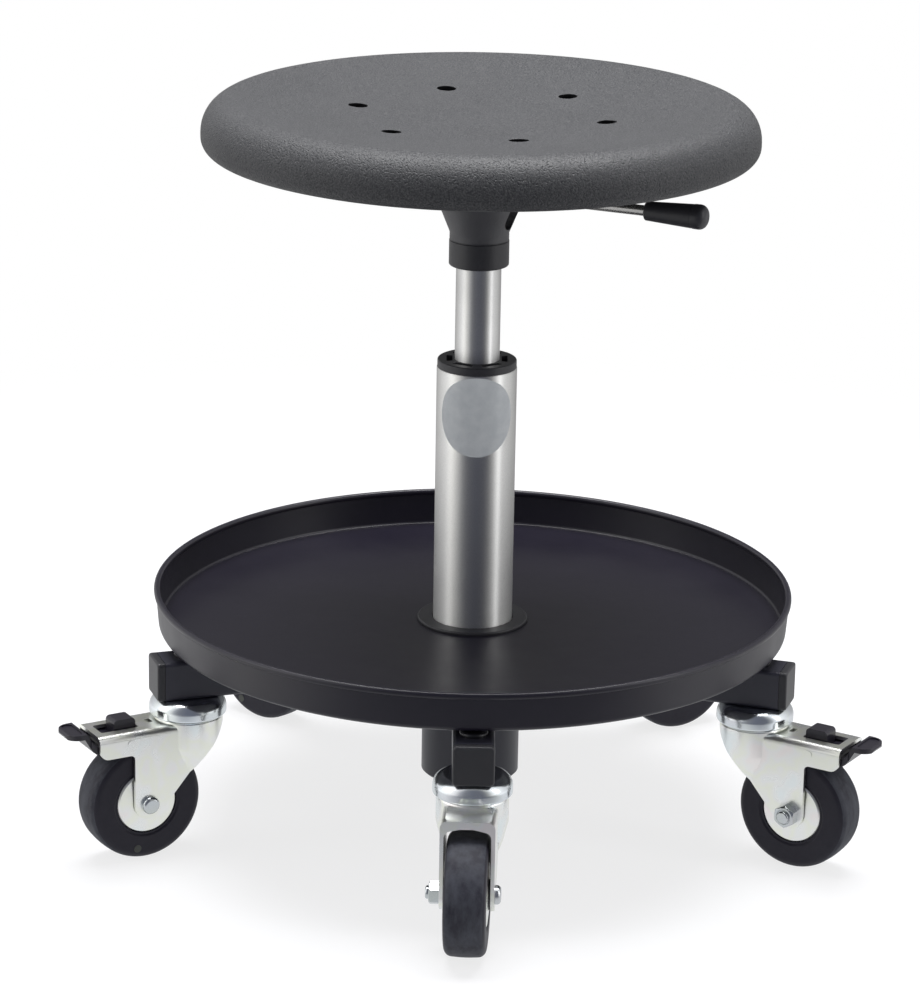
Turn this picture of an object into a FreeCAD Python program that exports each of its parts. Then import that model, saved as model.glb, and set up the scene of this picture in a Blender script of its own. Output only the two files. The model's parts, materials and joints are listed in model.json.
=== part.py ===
import FreeCAD, Part
import math
import os
import re
import Sketcher
from FreeCAD import Vector

# Workshop stool on five castors with a round tool tray and a gas-sprung seat.
# Millimetres, +Z up. The origin lies on the floor under the column axis, and the
# front arm points along -Y. Everything stands as it does at rest, seat half raised.

doc = FreeCAD.newDocument("CreeperSeat")

# Driving dimensions, one cell each. Heights and places that follow from them are in
# PLACES below.
SIZES = {
    # castor wheel: solid tyre on a core between two pressed caps
    "wheel_d": 75,
    "wheel_w": 25,
    "tyre_shoulder_r": 5,
    "tyre_wall_step": 1.2,
    "tyre_wall_d": 62,
    "core_d": 40,
    "core_web_w": 18,
    "core_boss_d": 18,
    "cap_rim_w": 24.2,
    "cap_crown": 0.9,
    "cap_edge": 1.2,
    # castor axle: M8 bolt and nut through a spacer tube
    "axle_d": 8,
    "axle_head_d": 11.5,
    "axle_head_t": 3.6,
    "axle_head_round": 1.2,
    "axle_nut_af": 13,
    "axle_nut_t": 6.5,
    "axle_tail": 2,
    "spacer_wall": 2,
    # castor fork, pressed from sheet
    "castor_trail": 34,
    "castor_head_h": 25,
    "fork_sheet": 2.3,
    "fork_side_gap": 1.5,
    "fork_bend_r": 4.5,
    "leg_end_r": 9.7,
    "shoulder_w": 5.45,
    "shoulder_drop": 15.5,
    "shoulder_taper": 22,
    "plate_step": 1.4,
    "crown_step": 1.25,
    "crown_round": 1.5,
    "head_round": 1.6,
    # dished panel and arched lip at the front of the plain forks
    "dish_depth": 1.6,
    "dish_inset": 0.3,
    "dish_corner_r": 4,
    "lip_middle": 3.8,
    "lip_side": 7,
    "lip_corner_r": 4.5,
    "lip_arch_r": 24,
    # brake channel of the two braked forks and their rocker pedal
    "channel_reach": 33,
    "channel_skirt": 14.7,
    "channel_end_r": 6,
    "channel_inner_r": 3,
    "slot_inner": 3,
    "slot_outer": 28,
    "slot_w": 14,
    "slot_corner_r": 1.5,
    "peep_w": 6,
    "peep_l": 4,
    "peep_inner": 8.5,
    "pivot_out": 12,
    "pivot_drop": 7,
    "brake_pin_d": 5,
    "brake_pin_head": 0.4,
    "pedal_side_gap": 1.2,
    "pedal_tab_w": 24,
    "pedal_tab_r": 9,
    "pedal_reach": 39.5,
    "pedal_dish": 0.8,
    "pedal_dish_edge": 1.6,
    "pedal_dish_r": 3.5,
    "block_w": 12,
    "block_l": 14.5,
    "block_h": 13,
    "block_edge_r": 2.5,
    # swivel head: cup on the arm, ball race, king bolt
    "cup_depth": 11.5,
    "cup_sheet": 2.5,
    "cup_gap": 1,
    "cup_round": 7,
    "cup_lip_r": 1.2,
    "head_gap": 0.6,
    "race_h": 5.5,
    "race_inner_d": 16,
    "race_outer_d": 32,
    "race_gap": 0.1,
    "bolt_d": 10,
    "bolt_head_d": 17,
    "bolt_head_h": 3.4,
    "bolt_head_dome": 2.6,
    "bolt_nut_af": 17,
    "bolt_nut_t": 7,
    # clearances
    "running_gap": 0.05,
    "press_gap": 0.02,
    "seat_gap": 0.1,
    "hole_gap": 0.3,
    "overrun": 5,
    # star base: five square tubes on a socket tube
    "castor_circle_r": 186,
    "arm_tip": 22,
    "arm_size": 25,
    "arm_wall": 2,
    "arm_corner_r": 2.5,
    "end_cap_t": 5,
    "end_cap_round": 1.5,
    "end_plug_l": 12,
    "end_plug_gap": 0.2,
    "hub_d": 62,
    "hub_length": 100.5,
    "hub_chamfer": 1.5,
    # tray: pressed pan with a rolled rim, and the collar round the column
    "tray_lift": 5.5,
    "tray_d": 400,
    "tray_draft": 4,
    "tray_depth": 25,
    "tray_sheet": 1.5,
    "tray_corner_r": 5,
    "tray_bead_d": 4,
    "collar_d": 70,
    "collar_t": 2.5,
    "collar_round": 1.2,
    "collar_tube_gap": 0.4,
    "collar_spigot_wall": 2,
    "collar_recess": 0.4,
    # column: outer tube, guide bush, foot bearing
    "tube_d": 50,
    "tube_wall": 2,
    "tube_length": 264,
    "tube_inset": 4,
    "tube_edge_r": 0.6,
    "bush_flange_d": 49.4,
    "bush_flange_t": 5,
    "bush_flange_r": 1,
    "bush_length": 45,
    "bush_pocket_count": 6,
    "bush_pocket_depth": 8,
    "bush_bore_wall": 2.2,
    "bush_rim_wall": 2.6,
    "bush_pocket_half": 21,
    "bush_pocket_r": 0.8,
    "foot_plate_inset": 4,
    "foot_plate_t": 4,
    "bearing_race_t": 2.5,
    "bearing_cage_t": 5,
    "bearing_d": 27,
    "bearing_cage_d": 25,
    # gas spring: piston rod stands on the bearing, cylinder slides with the seat
    "rod_d": 10,
    "rod_shoulder_d": 16,
    "rod_shoulder_t": 4,
    "rod_tail": 7,
    "clip_d": 17,
    "clip_t": 1.2,
    "clip_groove": 0.6,
    "piston_length": 12,
    "piston_up": 223.9,
    "cylinder_d": 28,
    "cylinder_wall": 1.8,
    "cylinder_length": 229,
    "cylinder_taper": 0.4,
    "gland_length": 12,
    "cylinder_showing": 60,
    "valve_length": 16,
    "button_d": 8,
    "button_rise": 6.3,
    "button_length": 16,
    "button_round": 0.8,
    # seat carrier
    "sleeve_d": 37.2,
    "sleeve_length": 17,
    "sleeve_round": 1,
    "socket_foot_d": 36.8,
    "socket_foot_h": 4,
    "socket_height": 55,
    "socket_grip": 19,
    "socket_cavity_d": 34,
    "cone_top_d": 74,
    "cone_fillet": 4,
    "socket_flange_d": 110,
    "socket_flange_t": 5,
    "socket_flange_r": 1.5,
    "screw_count": 4,
    "screw_circle_d": 90,
    "screw_d": 6,
    "screw_head_d": 10,
    "screw_head_t": 4,
    "screw_grip": 7,
    "screw_head_r": 1.5,
    # seat: round moulded foam on a board, dished, with six vents
    "seat_d": 342,
    "seat_centre_t": 20.2,
    "seat_edge_t": 32.8,
    "seat_low_r": 8,
    "seat_top_r": 20,
    "seat_dish_d": 110,
    "seat_dish_r": 260,
    "board_inset": 30,
    "board_t": 8,
    "vent_d": 11,
    "vent_count": 6,
    "vent_circle_d": 156,
    "vent_turn": -14,
    # height lever under the seat
    "lever_turn": -24,
    "lever_rise": 29,
    "lever_rod_d": 6.5,
    "lever_inner": 1,
    "lever_pivot_r": 15.5,
    "lever_pin_d": 3,
    "lever_pin_l": 40,
    "lever_slot_w": 16,
    "lever_slot_low": 7,
    "lever_slot_top": 36,
    "grip_start": 109,
    "grip_length": 42,
    "grip_small_d": 11.6,
    "grip_big_d": 15.5,
    "grip_end_r": 5,
    "grip_start_r": 1,
    "grip_bite": 30,
    # which way each castor trails at rest, from +X
    "front_turn": 266,
    "right_turn": 328,
    "back_right_turn": 27,
    "back_left_turn": 141,
    "left_turn": 209.4,
}

# Places and sizes that follow from the cells above.
PLACES = {
    "axle_z": "wheel_d / 2",
    "arm_low": "wheel_d + castor_head_h",
    "arm_top": "arm_low + arm_size",
    "arm_mid": "arm_low + arm_size / 2",
    "arm_reach": "castor_circle_r + arm_tip",
    "arm_end": "arm_reach - end_cap_t",
    "fork_in": "wheel_w / 2 + fork_side_gap",
    "fork_out": "fork_in + fork_sheet",
    "head_r": "fork_out + shoulder_w",
    "crown_r": "head_r - crown_step",
    "cup_r": "crown_r + cup_gap + cup_sheet",
    "crown_top": "arm_low - cup_sheet - race_h",
    "head_top": "arm_low - cup_depth - head_gap",
    "plate_top": "head_top - plate_step",
    "plate_under": "plate_top - fork_sheet",
    "shoulder_low": "plate_top - shoulder_drop",
    "taper_low": "shoulder_low - shoulder_taper",
    "leg_front": "castor_trail + leg_end_r",
    "back_run": "castor_trail + head_r",
    "back_rise": "plate_top - axle_z",
    "leg_foot": "plate_top - tan(atan(back_rise / back_run)"
                " + asin(leg_end_r / sqrt(back_rise ^ 2 + back_run ^ 2))) * (leg_front + head_r)",
    "channel_end": "castor_trail + channel_reach",
    "skirt_low": "plate_top - channel_skirt",
    "pivot_x": "castor_trail + pivot_out",
    "pivot_z": "plate_top - pivot_drop",
    "pedal_half": "fork_in - pedal_side_gap",
    "nut_top": "crown_top - fork_sheet - seat_gap",
    "bolt_bore_r": "bolt_d / 2 + running_gap",
    "hub_r": "hub_d / 2",
    "tray_low": "arm_top + tray_lift",
    "tray_floor": "tray_low + tray_sheet",
    "tray_top": "tray_low + tray_depth",
    "hub_foot": "tray_low - hub_length",
    "collar_low": "tray_floor - collar_recess",
    "spigot_r": "tube_d / 2 + collar_tube_gap + collar_spigot_wall",
    "tray_hole_r": "spigot_r + press_gap",
    "tube_in_r": "tube_d / 2 - tube_wall",
    "tube_foot": "hub_foot + tube_inset",
    "tube_top": "tube_foot + tube_length",
    "bush_top": "tube_top + bush_flange_t",
    "plug_r": "tube_in_r - press_gap",
    "foot_plate_low": "tube_foot + foot_plate_inset",
    "foot_plate_top": "foot_plate_low + foot_plate_t",
    "cage_low": "foot_plate_top + bearing_race_t",
    "upper_race_low": "cage_low + bearing_cage_t",
    "shoulder_low_z": "upper_race_low + bearing_race_t",
    "rod_foot": "foot_plate_low - rod_tail",
    "piston_low": "foot_plate_low + piston_up",
    "cylinder_r": "cylinder_d / 2",
    "cylinder_in_r": "cylinder_r - cylinder_wall",
    "sleeve_low": "bush_top + cylinder_showing",
    "socket_foot": "sleeve_low + sleeve_length",
    "cylinder_top": "socket_foot + socket_grip",
    "cylinder_foot": "cylinder_top - cylinder_length",
    "seat_low": "socket_foot + socket_height",
    "flange_low": "seat_low - socket_flange_t",
    "lever_z": "socket_foot + lever_rise",
    "board_top": "seat_low + board_t",
    "board_r": "seat_d / 2 - board_inset",
}

# The five arms, front first and on towards +X, and the two with braked castors.
ARMS = ["front", "right", "back_right", "back_left", "left"]
BRAKED = ["right", "left"]

sheet = doc.addObject("Spreadsheet::Sheet", "Sizes")
for row, (name, number) in enumerate(SIZES.items(), 1):
    sheet.set(f"A{row}", name)
    sheet.set(f"B{row}", str(number))
    sheet.setAlias(f"B{row}", name)
doc.recompute()


def bound(text):
    """The text of an expression with each name led to its cell or its derived place."""
    def lead(match):
        word = match.group(0)
        if word in SIZES:
            return "Sizes." + word
        return "Places." + word if word in PLACES else word
    return re.sub(r"[a-z][a-z_]*(_[a-z]+)*", lead, text)


places = doc.addObject("App::FeaturePython", "Places")
for name, text in PLACES.items():
    places.addProperty("App::PropertyFloat", name)
    places.setExpression(name, bound(text))
doc.recompute()


def value(text):
    """The number that an expression has now."""
    found = sheet.evalExpression(bound(text))
    return float(getattr(found, "Value", found))


def new_body(label):
    body = doc.addObject("PartDesign::Body", label)
    body.Label = label
    return body


def draw(body, name, plane, offset="0"):
    """A sketch on one of the body's own planes, moved along its normal."""
    role = plane + "_Plane"
    support = [item for item in body.Origin.OriginFeatures if item.Role == role][0]
    sketch = body.newObject("Sketcher::SketchObject", f"{body.Label}_{name}")
    sketch.AttachmentSupport = [(support, "")]
    sketch.MapMode = "FlatFace"
    sketch.setExpression("AttachmentOffset.Base.z", bound(offset))
    return sketch


def pin_point(sketch, geometry, end, x, y):
    """Hold one point of the sketch at two named distances from its origin."""
    for kind, text in (("DistanceX", x), ("DistanceY", y)):
        rule = Sketcher.Constraint(kind, -1, 1, geometry, end, value(text))
        index = sketch.addConstraint(rule)
        sketch.setExpression(f"Constraints[{index}]", bound(text))


def circle(sketch, x, y, radius):
    ring = Part.Circle(Vector(value(x), value(y), 0), Vector(0, 0, 1), value(radius))
    index = sketch.addGeometry(ring)
    pin_point(sketch, index, 3, x, y)
    rule = sketch.addConstraint(Sketcher.Constraint("Radius", index, value(radius)))
    sketch.setExpression(f"Constraints[{rule}]", bound(radius))


def corner_arc(before, corner, after, radius):
    """Start, end, arc and sense of the round at a corner, as the sketcher wants them."""
    into = (before - corner).normalize()
    away = (after - corner).normalize()
    half = into.getAngle(away) / 2
    start = corner + into * (radius / math.tan(half))
    end = corner + away * (radius / math.tan(half))
    centre = corner + (into + away).normalize() * (radius / math.sin(half))
    left_turn = (corner - before).cross(after - corner).z > 0
    first, last = (start, end) if left_turn else (end, start)
    from_angle = math.atan2(first.y - centre.y, first.x - centre.x)
    to_angle = math.atan2(last.y - centre.y, last.x - centre.x)
    if to_angle < from_angle:
        to_angle += 2 * math.pi
    arc = Part.ArcOfCircle(Part.Circle(centre, Vector(0, 0, 1), radius), from_angle, to_angle)
    return start, end, arc, left_turn


def outline(sketch, corners):
    """A closed run of straight edges; a corner's third item, if any, is its round."""
    points = [Vector(value(item[0]), value(item[1]), 0) for item in corners]
    count = len(points)
    rounds = {}
    for i, item in enumerate(corners):
        if len(item) > 2:
            radius = value(item[2])
            rounds[i] = corner_arc(points[i - 1], points[i], points[(i + 1) % count], radius)
    edges = []
    for i in range(count):
        j = (i + 1) % count
        start = rounds[i][1] if i in rounds else points[i]
        end = rounds[j][0] if j in rounds else points[j]
        edges.append(sketch.addGeometry(Part.LineSegment(start, end)))
    for i, item in enumerate(corners):
        came, goes = edges[i - 1], edges[i]
        if i not in rounds:
            sketch.addConstraint(Sketcher.Constraint("Coincident", came, 2, goes, 1))
            pin_point(sketch, goes, 1, item[0], item[1])
            continue
        mark = sketch.addGeometry(Part.Point(points[i]), True)
        pin_point(sketch, mark, 1, item[0], item[1])
        sketch.addConstraint(Sketcher.Constraint("PointOnObject", mark, 1, came))
        sketch.addConstraint(Sketcher.Constraint("PointOnObject", mark, 1, goes))
        arc = sketch.addGeometry(rounds[i][2])
        first, last = (1, 2) if rounds[i][3] else (2, 1)
        sketch.addConstraint(Sketcher.Constraint("Tangent", came, 2, arc, first))
        sketch.addConstraint(Sketcher.Constraint("Tangent", goes, 1, arc, last))
        rule = sketch.addConstraint(Sketcher.Constraint("Radius", arc, value(item[2])))
        sketch.setExpression(f"Constraints[{rule}]", bound(item[2]))


def turned(body, name, plane, axis, corners, cut=False):
    """A profile turned a full circle about the sketch's own axis."""
    sketch = draw(body, name + "_profile", plane)
    outline(sketch, corners)
    return turn(body, name, sketch, axis, cut)


def turn(body, name, sketch, axis, cut=False):
    kind = "PartDesign::Groove" if cut else "PartDesign::Revolution"
    feature = body.newObject(kind, f"{body.Label}_{name}")
    feature.Profile = sketch
    feature.ReferenceAxis = (sketch, [axis])
    feature.Angle = 360
    return feature


def pad(body, name, sketch, length, both_ways=False, back=False):
    feature = body.newObject("PartDesign::Pad", f"{body.Label}_{name}")
    feature.Profile = sketch
    feature.setExpression("Length", bound(length))
    feature.Midplane = both_ways
    feature.Reversed = back
    return feature


def pocket(body, name, sketch, length, both_ways=False, back=False):
    feature = body.newObject("PartDesign::Pocket", f"{body.Label}_{name}")
    feature.Profile = sketch
    feature.setExpression("Length", bound(length))
    feature.Midplane = both_ways
    feature.Reversed = back
    return feature


def around(body, name, feature, count):
    """Copies of a feature round the body's own Z axis."""
    pattern = body.newObject("PartDesign::PolarPattern", f"{body.Label}_{name}")
    pattern.Originals = [feature]
    pattern.Axis = (feature.Profile[0], ["N_Axis"])
    pattern.Angle = 360
    pattern.setExpression("Occurrences", bound(count))
    body.Tip = pattern
    return pattern


def fillet(body, name, radius, wanted):
    """Round the edges of the body so far that the test picks."""
    doc.recompute()
    base = body.Tip
    picked = [f"Edge{i + 1}" for i, edge in enumerate(base.Shape.Edges) if wanted(edge)]
    feature = body.newObject("PartDesign::Fillet", f"{body.Label}_{name}")
    feature.Base = (base, picked)
    feature.setExpression("Radius", bound(radius))
    return feature


def lies_at(edge, **planes):
    """Whether a whole edge lies in the planes given, such as x or y at a place."""
    box = edge.BoundBox
    spans = {"x": (box.XMin, box.XMax), "y": (box.YMin, box.YMax), "z": (box.ZMin, box.ZMax)}
    near = 0.01
    return all(
        abs(spans[axis][0] - place) < near and abs(spans[axis][1] - place) < near
        for axis, place in planes.items()
    )


def place(item, x="0", y="0", z="0", angle="0"):
    for axis, text in (("x", x), ("y", y), ("z", z)):
        item.setExpression(f"Placement.Base.{axis}", bound(text))
    item.setExpression("Placement.Rotation.Angle", bound(angle))
    return item


def arm_angle(arm):
    """Direction of an arm from +X, the front one along -Y."""
    return f"(270 + {ARMS.index(arm)} * 360 / {len(ARMS)})"


def place_castor(item, arm, along="0", z="0"):
    """Put an item on its castor's swivel axis, or that far along its trail."""
    angle = arm_angle(arm)
    turn_name = arm + "_turn"
    x = f"castor_circle_r * cos({angle}) + ({along}) * cos({turn_name})"
    y = f"castor_circle_r * sin({angle}) + ({along}) * sin({turn_name})"
    return place(item, x, y, z, turn_name)


def group(label, members):
    """Loose like pieces that share one node, each its own solid."""
    item = doc.addObject("Part::Compound", label)
    item.Label = label
    item.Links = members
    return item


def hexagon(sketch, x, y, across):
    """Hexagon of a nut with flats at the sides."""
    corners = []
    for k in range(6):
        turn_text = f"{30 + 60 * k}"
        reach = f"({across}) / sqrt(3)"
        corners.append((f"{x} + {reach} * cos({turn_text})", f"{y} + {reach} * sin({turn_text})"))
    outline(sketch, corners)


nodes = []


def ring(label, low, high, inner, outer):
    """A plain ring or disc about the column axis."""
    body = new_body(label)
    turned(body, "turn", "XZ", "V_Axis",
           [(inner, low), (outer, low), (outer, high), (inner, high)])
    return body


# Base hub: socket tube of the star base, bored for the column.
base_hub = new_body("base_hub")
hub_bore = "tube_d / 2 + press_gap"
turned(base_hub, "turn", "XZ", "V_Axis", [
    (hub_bore, "hub_foot"),
    ("hub_r - hub_chamfer", "hub_foot"),
    ("hub_r", "hub_foot + hub_chamfer"),
    ("hub_r", "tray_low"),
    (hub_bore, "tray_low"),
])
nodes.append(base_hub)


def square(sketch, half, radius):
    """A square tube's outline about the arm's own centre line."""
    outline(sketch, [
        (f"-({half})", f"arm_mid - ({half})", radius),
        (half, f"arm_mid - ({half})", radius),
        (half, f"arm_mid + ({half})", radius),
        (f"-({half})", f"arm_mid + ({half})", radius),
    ])


# Arms: square steel tubes, coped to the hub and drilled for the castor bolts.
for arm in ARMS:
    tube = new_body("arm_" + arm)
    section = draw(tube, "section", "YZ")
    square(section, "arm_size / 2", "arm_corner_r")
    square(section, "arm_size / 2 - arm_wall", "arm_corner_r - arm_wall + hole_gap")
    pad(tube, "length", section, "arm_end")
    cope = draw(tube, "cope", "XY")
    circle(cope, "0", "0", "hub_r + seat_gap")
    pocket(tube, "coping", cope, "2 * (arm_top + overrun)", both_ways=True)
    drill = draw(tube, "drill", "XY")
    circle(drill, "castor_circle_r", "0", "bolt_d / 2 + hole_gap")
    pocket(tube, "drilling", drill, "2 * (arm_top + overrun)", both_ways=True)
    place(tube, angle=arm_angle(arm))
    nodes.append(tube)

# End caps: moulded plugs that close the arm tips.
caps = []
for arm in ARMS:
    cap = new_body("end_cap_" + arm)
    face = draw(cap, "face", "YZ", "arm_end")
    square(face, "arm_size / 2", "arm_corner_r")
    pad(cap, "flange", face, "end_cap_t")
    tip = value("arm_reach")
    fillet(cap, "edge", "end_cap_round", lambda edge: lies_at(edge, x=tip))
    stem = draw(cap, "stem", "YZ", "arm_end")
    square(stem, "arm_size / 2 - arm_wall - end_plug_gap", "arm_corner_r - arm_wall + hole_gap")
    pad(cap, "plug", stem, "end_plug_l", back=True)
    place(cap, angle=arm_angle(arm))
    caps.append(cap)
nodes.append(group("arm_end_caps", caps))

# Swivel heads, the fixed half: pressed cup, caged ball race, king bolt and nut.
cups, races, bolts = [], [], []
for arm in ARMS:
    cup = new_body("cup_" + arm)
    turned(cup, "turn", "XZ", "V_Axis", [
        ("bolt_bore_r", "arm_low - cup_sheet"),
        ("cup_r - cup_sheet", "arm_low - cup_sheet", "cup_round - cup_sheet"),
        ("cup_r - cup_sheet", "arm_low - cup_depth"),
        ("cup_r", "arm_low - cup_depth", "cup_lip_r"),
        ("cup_r", "arm_low", "cup_round"),
        ("bolt_bore_r", "arm_low"),
    ])
    cups.append(place_castor(cup, arm))
    race = ring("race_" + arm, "crown_top + race_gap", "arm_low - cup_sheet - race_gap",
                "race_inner_d / 2", "race_outer_d / 2")
    races.append(place_castor(race, arm))
    bolt = new_body("bolt_" + arm)
    turned(bolt, "turn", "XZ", "V_Axis", [
        ("0", "nut_top - bolt_nut_t"),
        ("bolt_d / 2", "nut_top - bolt_nut_t"),
        ("bolt_d / 2", "arm_top"),
        ("bolt_head_d / 2", "arm_top"),
        ("bolt_head_d / 2", "arm_top + bolt_head_h", "bolt_head_dome"),
        ("0", "arm_top + bolt_head_h"),
    ])
    bolts.append(place_castor(bolt, arm))
    nut = new_body("nut_" + arm)
    flats = draw(nut, "flats", "XY", "nut_top - bolt_nut_t")
    hexagon(flats, "0", "0", "bolt_nut_af")
    circle(flats, "0", "0", "bolt_d / 2 + press_gap")
    pad(nut, "height", flats, "bolt_nut_t")
    bolts.append(place_castor(nut, arm))
nodes += [group("castor_cups", cups), group("castor_races", races), group("castor_bolts", bolts)]

# Tray: one pressed pan with a drafted wall and a rolled rim.
tray = new_body("tray")
rim_mid = "tray_d / 2 - tray_bead_d / 2"
floor_r = "tray_d / 2 - tray_draft"
turned(tray, "pan", "XZ", "V_Axis", [
    ("tray_hole_r", "tray_low"),
    (floor_r, "tray_low", "tray_corner_r + tray_sheet"),
    (f"{rim_mid} + tray_sheet / 2", "tray_top - tray_bead_d / 2"),
    (f"{rim_mid} - tray_sheet / 2", "tray_top - tray_bead_d / 2"),
    (f"{floor_r} - tray_sheet", "tray_floor", "tray_corner_r"),
    ("collar_d / 2 + hole_gap", "tray_floor"),
    ("collar_d / 2 + hole_gap", "collar_low"),
    ("tray_hole_r", "collar_low"),
])
bead = draw(tray, "bead", "XZ")
circle(bead, rim_mid, "tray_top - tray_bead_d / 2", "tray_bead_d / 2")
turn(tray, "rim", bead, "V_Axis")
nodes.append(tray)

# Collar: flanged ring that trims the tray's hole round the column.
tray_collar = new_body("tray_collar")
turned(tray_collar, "turn", "XZ", "V_Axis", [
    ("tube_d / 2 + collar_tube_gap", "tray_low + seat_gap"),
    ("spigot_r", "tray_low + seat_gap"),
    ("spigot_r", "collar_low"),
    ("collar_d / 2", "collar_low"),
    ("collar_d / 2", "collar_low + collar_t", "collar_round"),
    ("tube_d / 2 + collar_tube_gap", "collar_low + collar_t", "collar_round / 2"),
])
nodes.append(tray_collar)

# Column tube, plate in its foot, and the bearing that carries the piston rod.
stand_tube = new_body("stand_tube")
turned(stand_tube, "turn", "XZ", "V_Axis", [
    ("tube_in_r", "tube_foot"),
    ("tube_d / 2", "tube_foot"),
    ("tube_d / 2", "tube_top", "tube_edge_r"),
    ("tube_in_r", "tube_top"),
])
rod_bore = "rod_d / 2 + running_gap"
tube_foot_plate = ring("tube_foot_plate", "foot_plate_low", "foot_plate_top", rod_bore, "plug_r")
lower_race = ring("lower_race", "foot_plate_top", "cage_low", rod_bore, "bearing_d / 2")
ball_cage = ring("ball_cage", "cage_low", "upper_race_low - running_gap",
                 rod_bore, "bearing_cage_d / 2")
nodes += [stand_tube, tube_foot_plate, group("foot_bearing", [lower_race, ball_cage])]

# Guide bush: plastic liner in the tube's mouth, its flange lightened by pockets.
guide_bush = new_body("guide_bush")
turned(guide_bush, "turn", "XZ", "V_Axis", [
    ("cylinder_r + running_gap", "tube_top - bush_length"),
    ("plug_r", "tube_top - bush_length"),
    ("plug_r", "tube_top"),
    ("bush_flange_d / 2", "tube_top"),
    ("bush_flange_d / 2", "bush_top", "bush_flange_r"),
    ("cylinder_r + running_gap", "bush_top"),
])
window = draw(guide_bush, "window", "XY", "bush_top")
near_r = "(cylinder_r + running_gap + bush_bore_wall)"
far_r = "(plug_r - bush_rim_wall)"
outline(window, [
    (f"{near_r} * cos(bush_pocket_half)", f"-{near_r} * sin(bush_pocket_half)", "bush_pocket_r"),
    (f"{far_r} * cos(bush_pocket_half)", f"-{far_r} * sin(bush_pocket_half)", "bush_pocket_r"),
    (f"{far_r} * cos(bush_pocket_half)", f"{far_r} * sin(bush_pocket_half)", "bush_pocket_r"),
    (f"{near_r} * cos(bush_pocket_half)", f"{near_r} * sin(bush_pocket_half)", "bush_pocket_r"),
])
around(guide_bush, "pockets", pocket(guide_bush, "recess", window, "bush_pocket_depth"),
       "bush_pocket_count")
nodes.append(guide_bush)

# Piston rod: stands on the bearing, held down by a clip, piston at its head.
piston_rod = new_body("piston_rod")
clip_top = "foot_plate_low - seat_gap"
groove_r = "rod_d / 2 - clip_groove"
turned(piston_rod, "turn", "XZ", "V_Axis", [
    ("0", "rod_foot"),
    ("rod_d / 2", "rod_foot"),
    ("rod_d / 2", f"{clip_top} - clip_t"),
    (groove_r, f"{clip_top} - clip_t"),
    (groove_r, clip_top),
    ("rod_d / 2", clip_top),
    ("rod_d / 2", "shoulder_low_z"),
    ("rod_shoulder_d / 2", "shoulder_low_z"),
    ("rod_shoulder_d / 2", "shoulder_low_z + rod_shoulder_t"),
    ("rod_d / 2", "shoulder_low_z + rod_shoulder_t"),
    ("rod_d / 2", "piston_low"),
    ("cylinder_in_r - running_gap", "piston_low"),
    ("cylinder_in_r - running_gap", "piston_low + piston_length"),
    ("0", "piston_low + piston_length"),
])
rod_clip = ring("rod_clip", f"{clip_top} - clip_t", clip_top, f"{groove_r} + press_gap",
                "clip_d / 2")
upper_race = ring("upper_race", "upper_race_low", "shoulder_low_z", "rod_d / 2 + press_gap",
                  "bearing_d / 2")
nodes += [piston_rod, rod_clip, upper_race]

# Gas cylinder: slides in the bush, closed by a gland below and its valve above.
gas_cylinder = new_body("gas_cylinder")
turned(gas_cylinder, "turn", "XZ", "V_Axis", [
    ("cylinder_in_r", "cylinder_foot"),
    ("cylinder_r", "cylinder_foot"),
    ("cylinder_r", "socket_foot"),
    ("cylinder_r - cylinder_taper", "cylinder_top"),
    ("cylinder_in_r", "cylinder_top"),
])
end_r = "cylinder_in_r - press_gap"
gland = ring("gland", "cylinder_foot", "cylinder_foot + gland_length", rod_bore, end_r)
valve = ring("valve_seat", "cylinder_top - valve_length", "cylinder_top",
             "button_d / 2 + running_gap", end_r)
valve_button = new_body("valve_button")
button_top = "cylinder_top + button_rise"
turned(valve_button, "turn", "XZ", "V_Axis", [
    ("0", f"{button_top} - button_length"),
    ("button_d / 2", f"{button_top} - button_length"),
    ("button_d / 2", button_top, "button_round"),
    ("0", button_top),
])
nodes += [gas_cylinder, group("cylinder_ends", [gland, valve]), valve_button]

# Seat socket: cast cone pressed on the cylinder's taper, flanged to the seat board.
seat_socket = new_body("seat_socket")
turned(seat_socket, "turn", "XZ", "V_Axis", [
    ("cylinder_r + press_gap", "socket_foot"),
    ("socket_foot_d / 2", "socket_foot"),
    ("socket_foot_d / 2", "socket_foot + socket_foot_h"),
    ("cone_top_d / 2", "flange_low", "cone_fillet"),
    ("socket_flange_d / 2", "flange_low", "socket_flange_r"),
    ("socket_flange_d / 2", "seat_low"),
    ("socket_cavity_d / 2", "seat_low"),
    ("socket_cavity_d / 2", "cylinder_top"),
    ("cylinder_r - cylinder_taper + press_gap", "cylinder_top"),
])
slot = draw(seat_socket, "slot", "YZ")
slot_half = "lever_slot_w / 2"
slot_round = "lever_slot_w / 2 - seat_gap"
outline(slot, [
    (f"-{slot_half}", "socket_foot + lever_slot_low", slot_round),
    (slot_half, "socket_foot + lever_slot_low", slot_round),
    (slot_half, "socket_foot + lever_slot_top", slot_round),
    (f"-{slot_half}", "socket_foot + lever_slot_top", slot_round),
])
pocket(seat_socket, "mouth", slot, "cone_top_d / 2", back=True)
pivot_hole = draw(seat_socket, "pivot", "XZ")
circle(pivot_hole, "lever_pivot_r", "lever_z", "lever_pin_d / 2 + press_gap")
pocket(seat_socket, "pivot_bore", pivot_hole, "cone_top_d", both_ways=True)
screw_hole = draw(seat_socket, "screw", "XY", "seat_low")
circle(screw_hole, "screw_circle_d / 2", "0", "screw_d / 2 + hole_gap")
drilled = pocket(seat_socket, "screw_bore", screw_hole, "socket_flange_t + overrun")
around(seat_socket, "screw_bores", drilled, "screw_count")
place(seat_socket, angle="lever_turn")
nodes.append(seat_socket)

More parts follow.
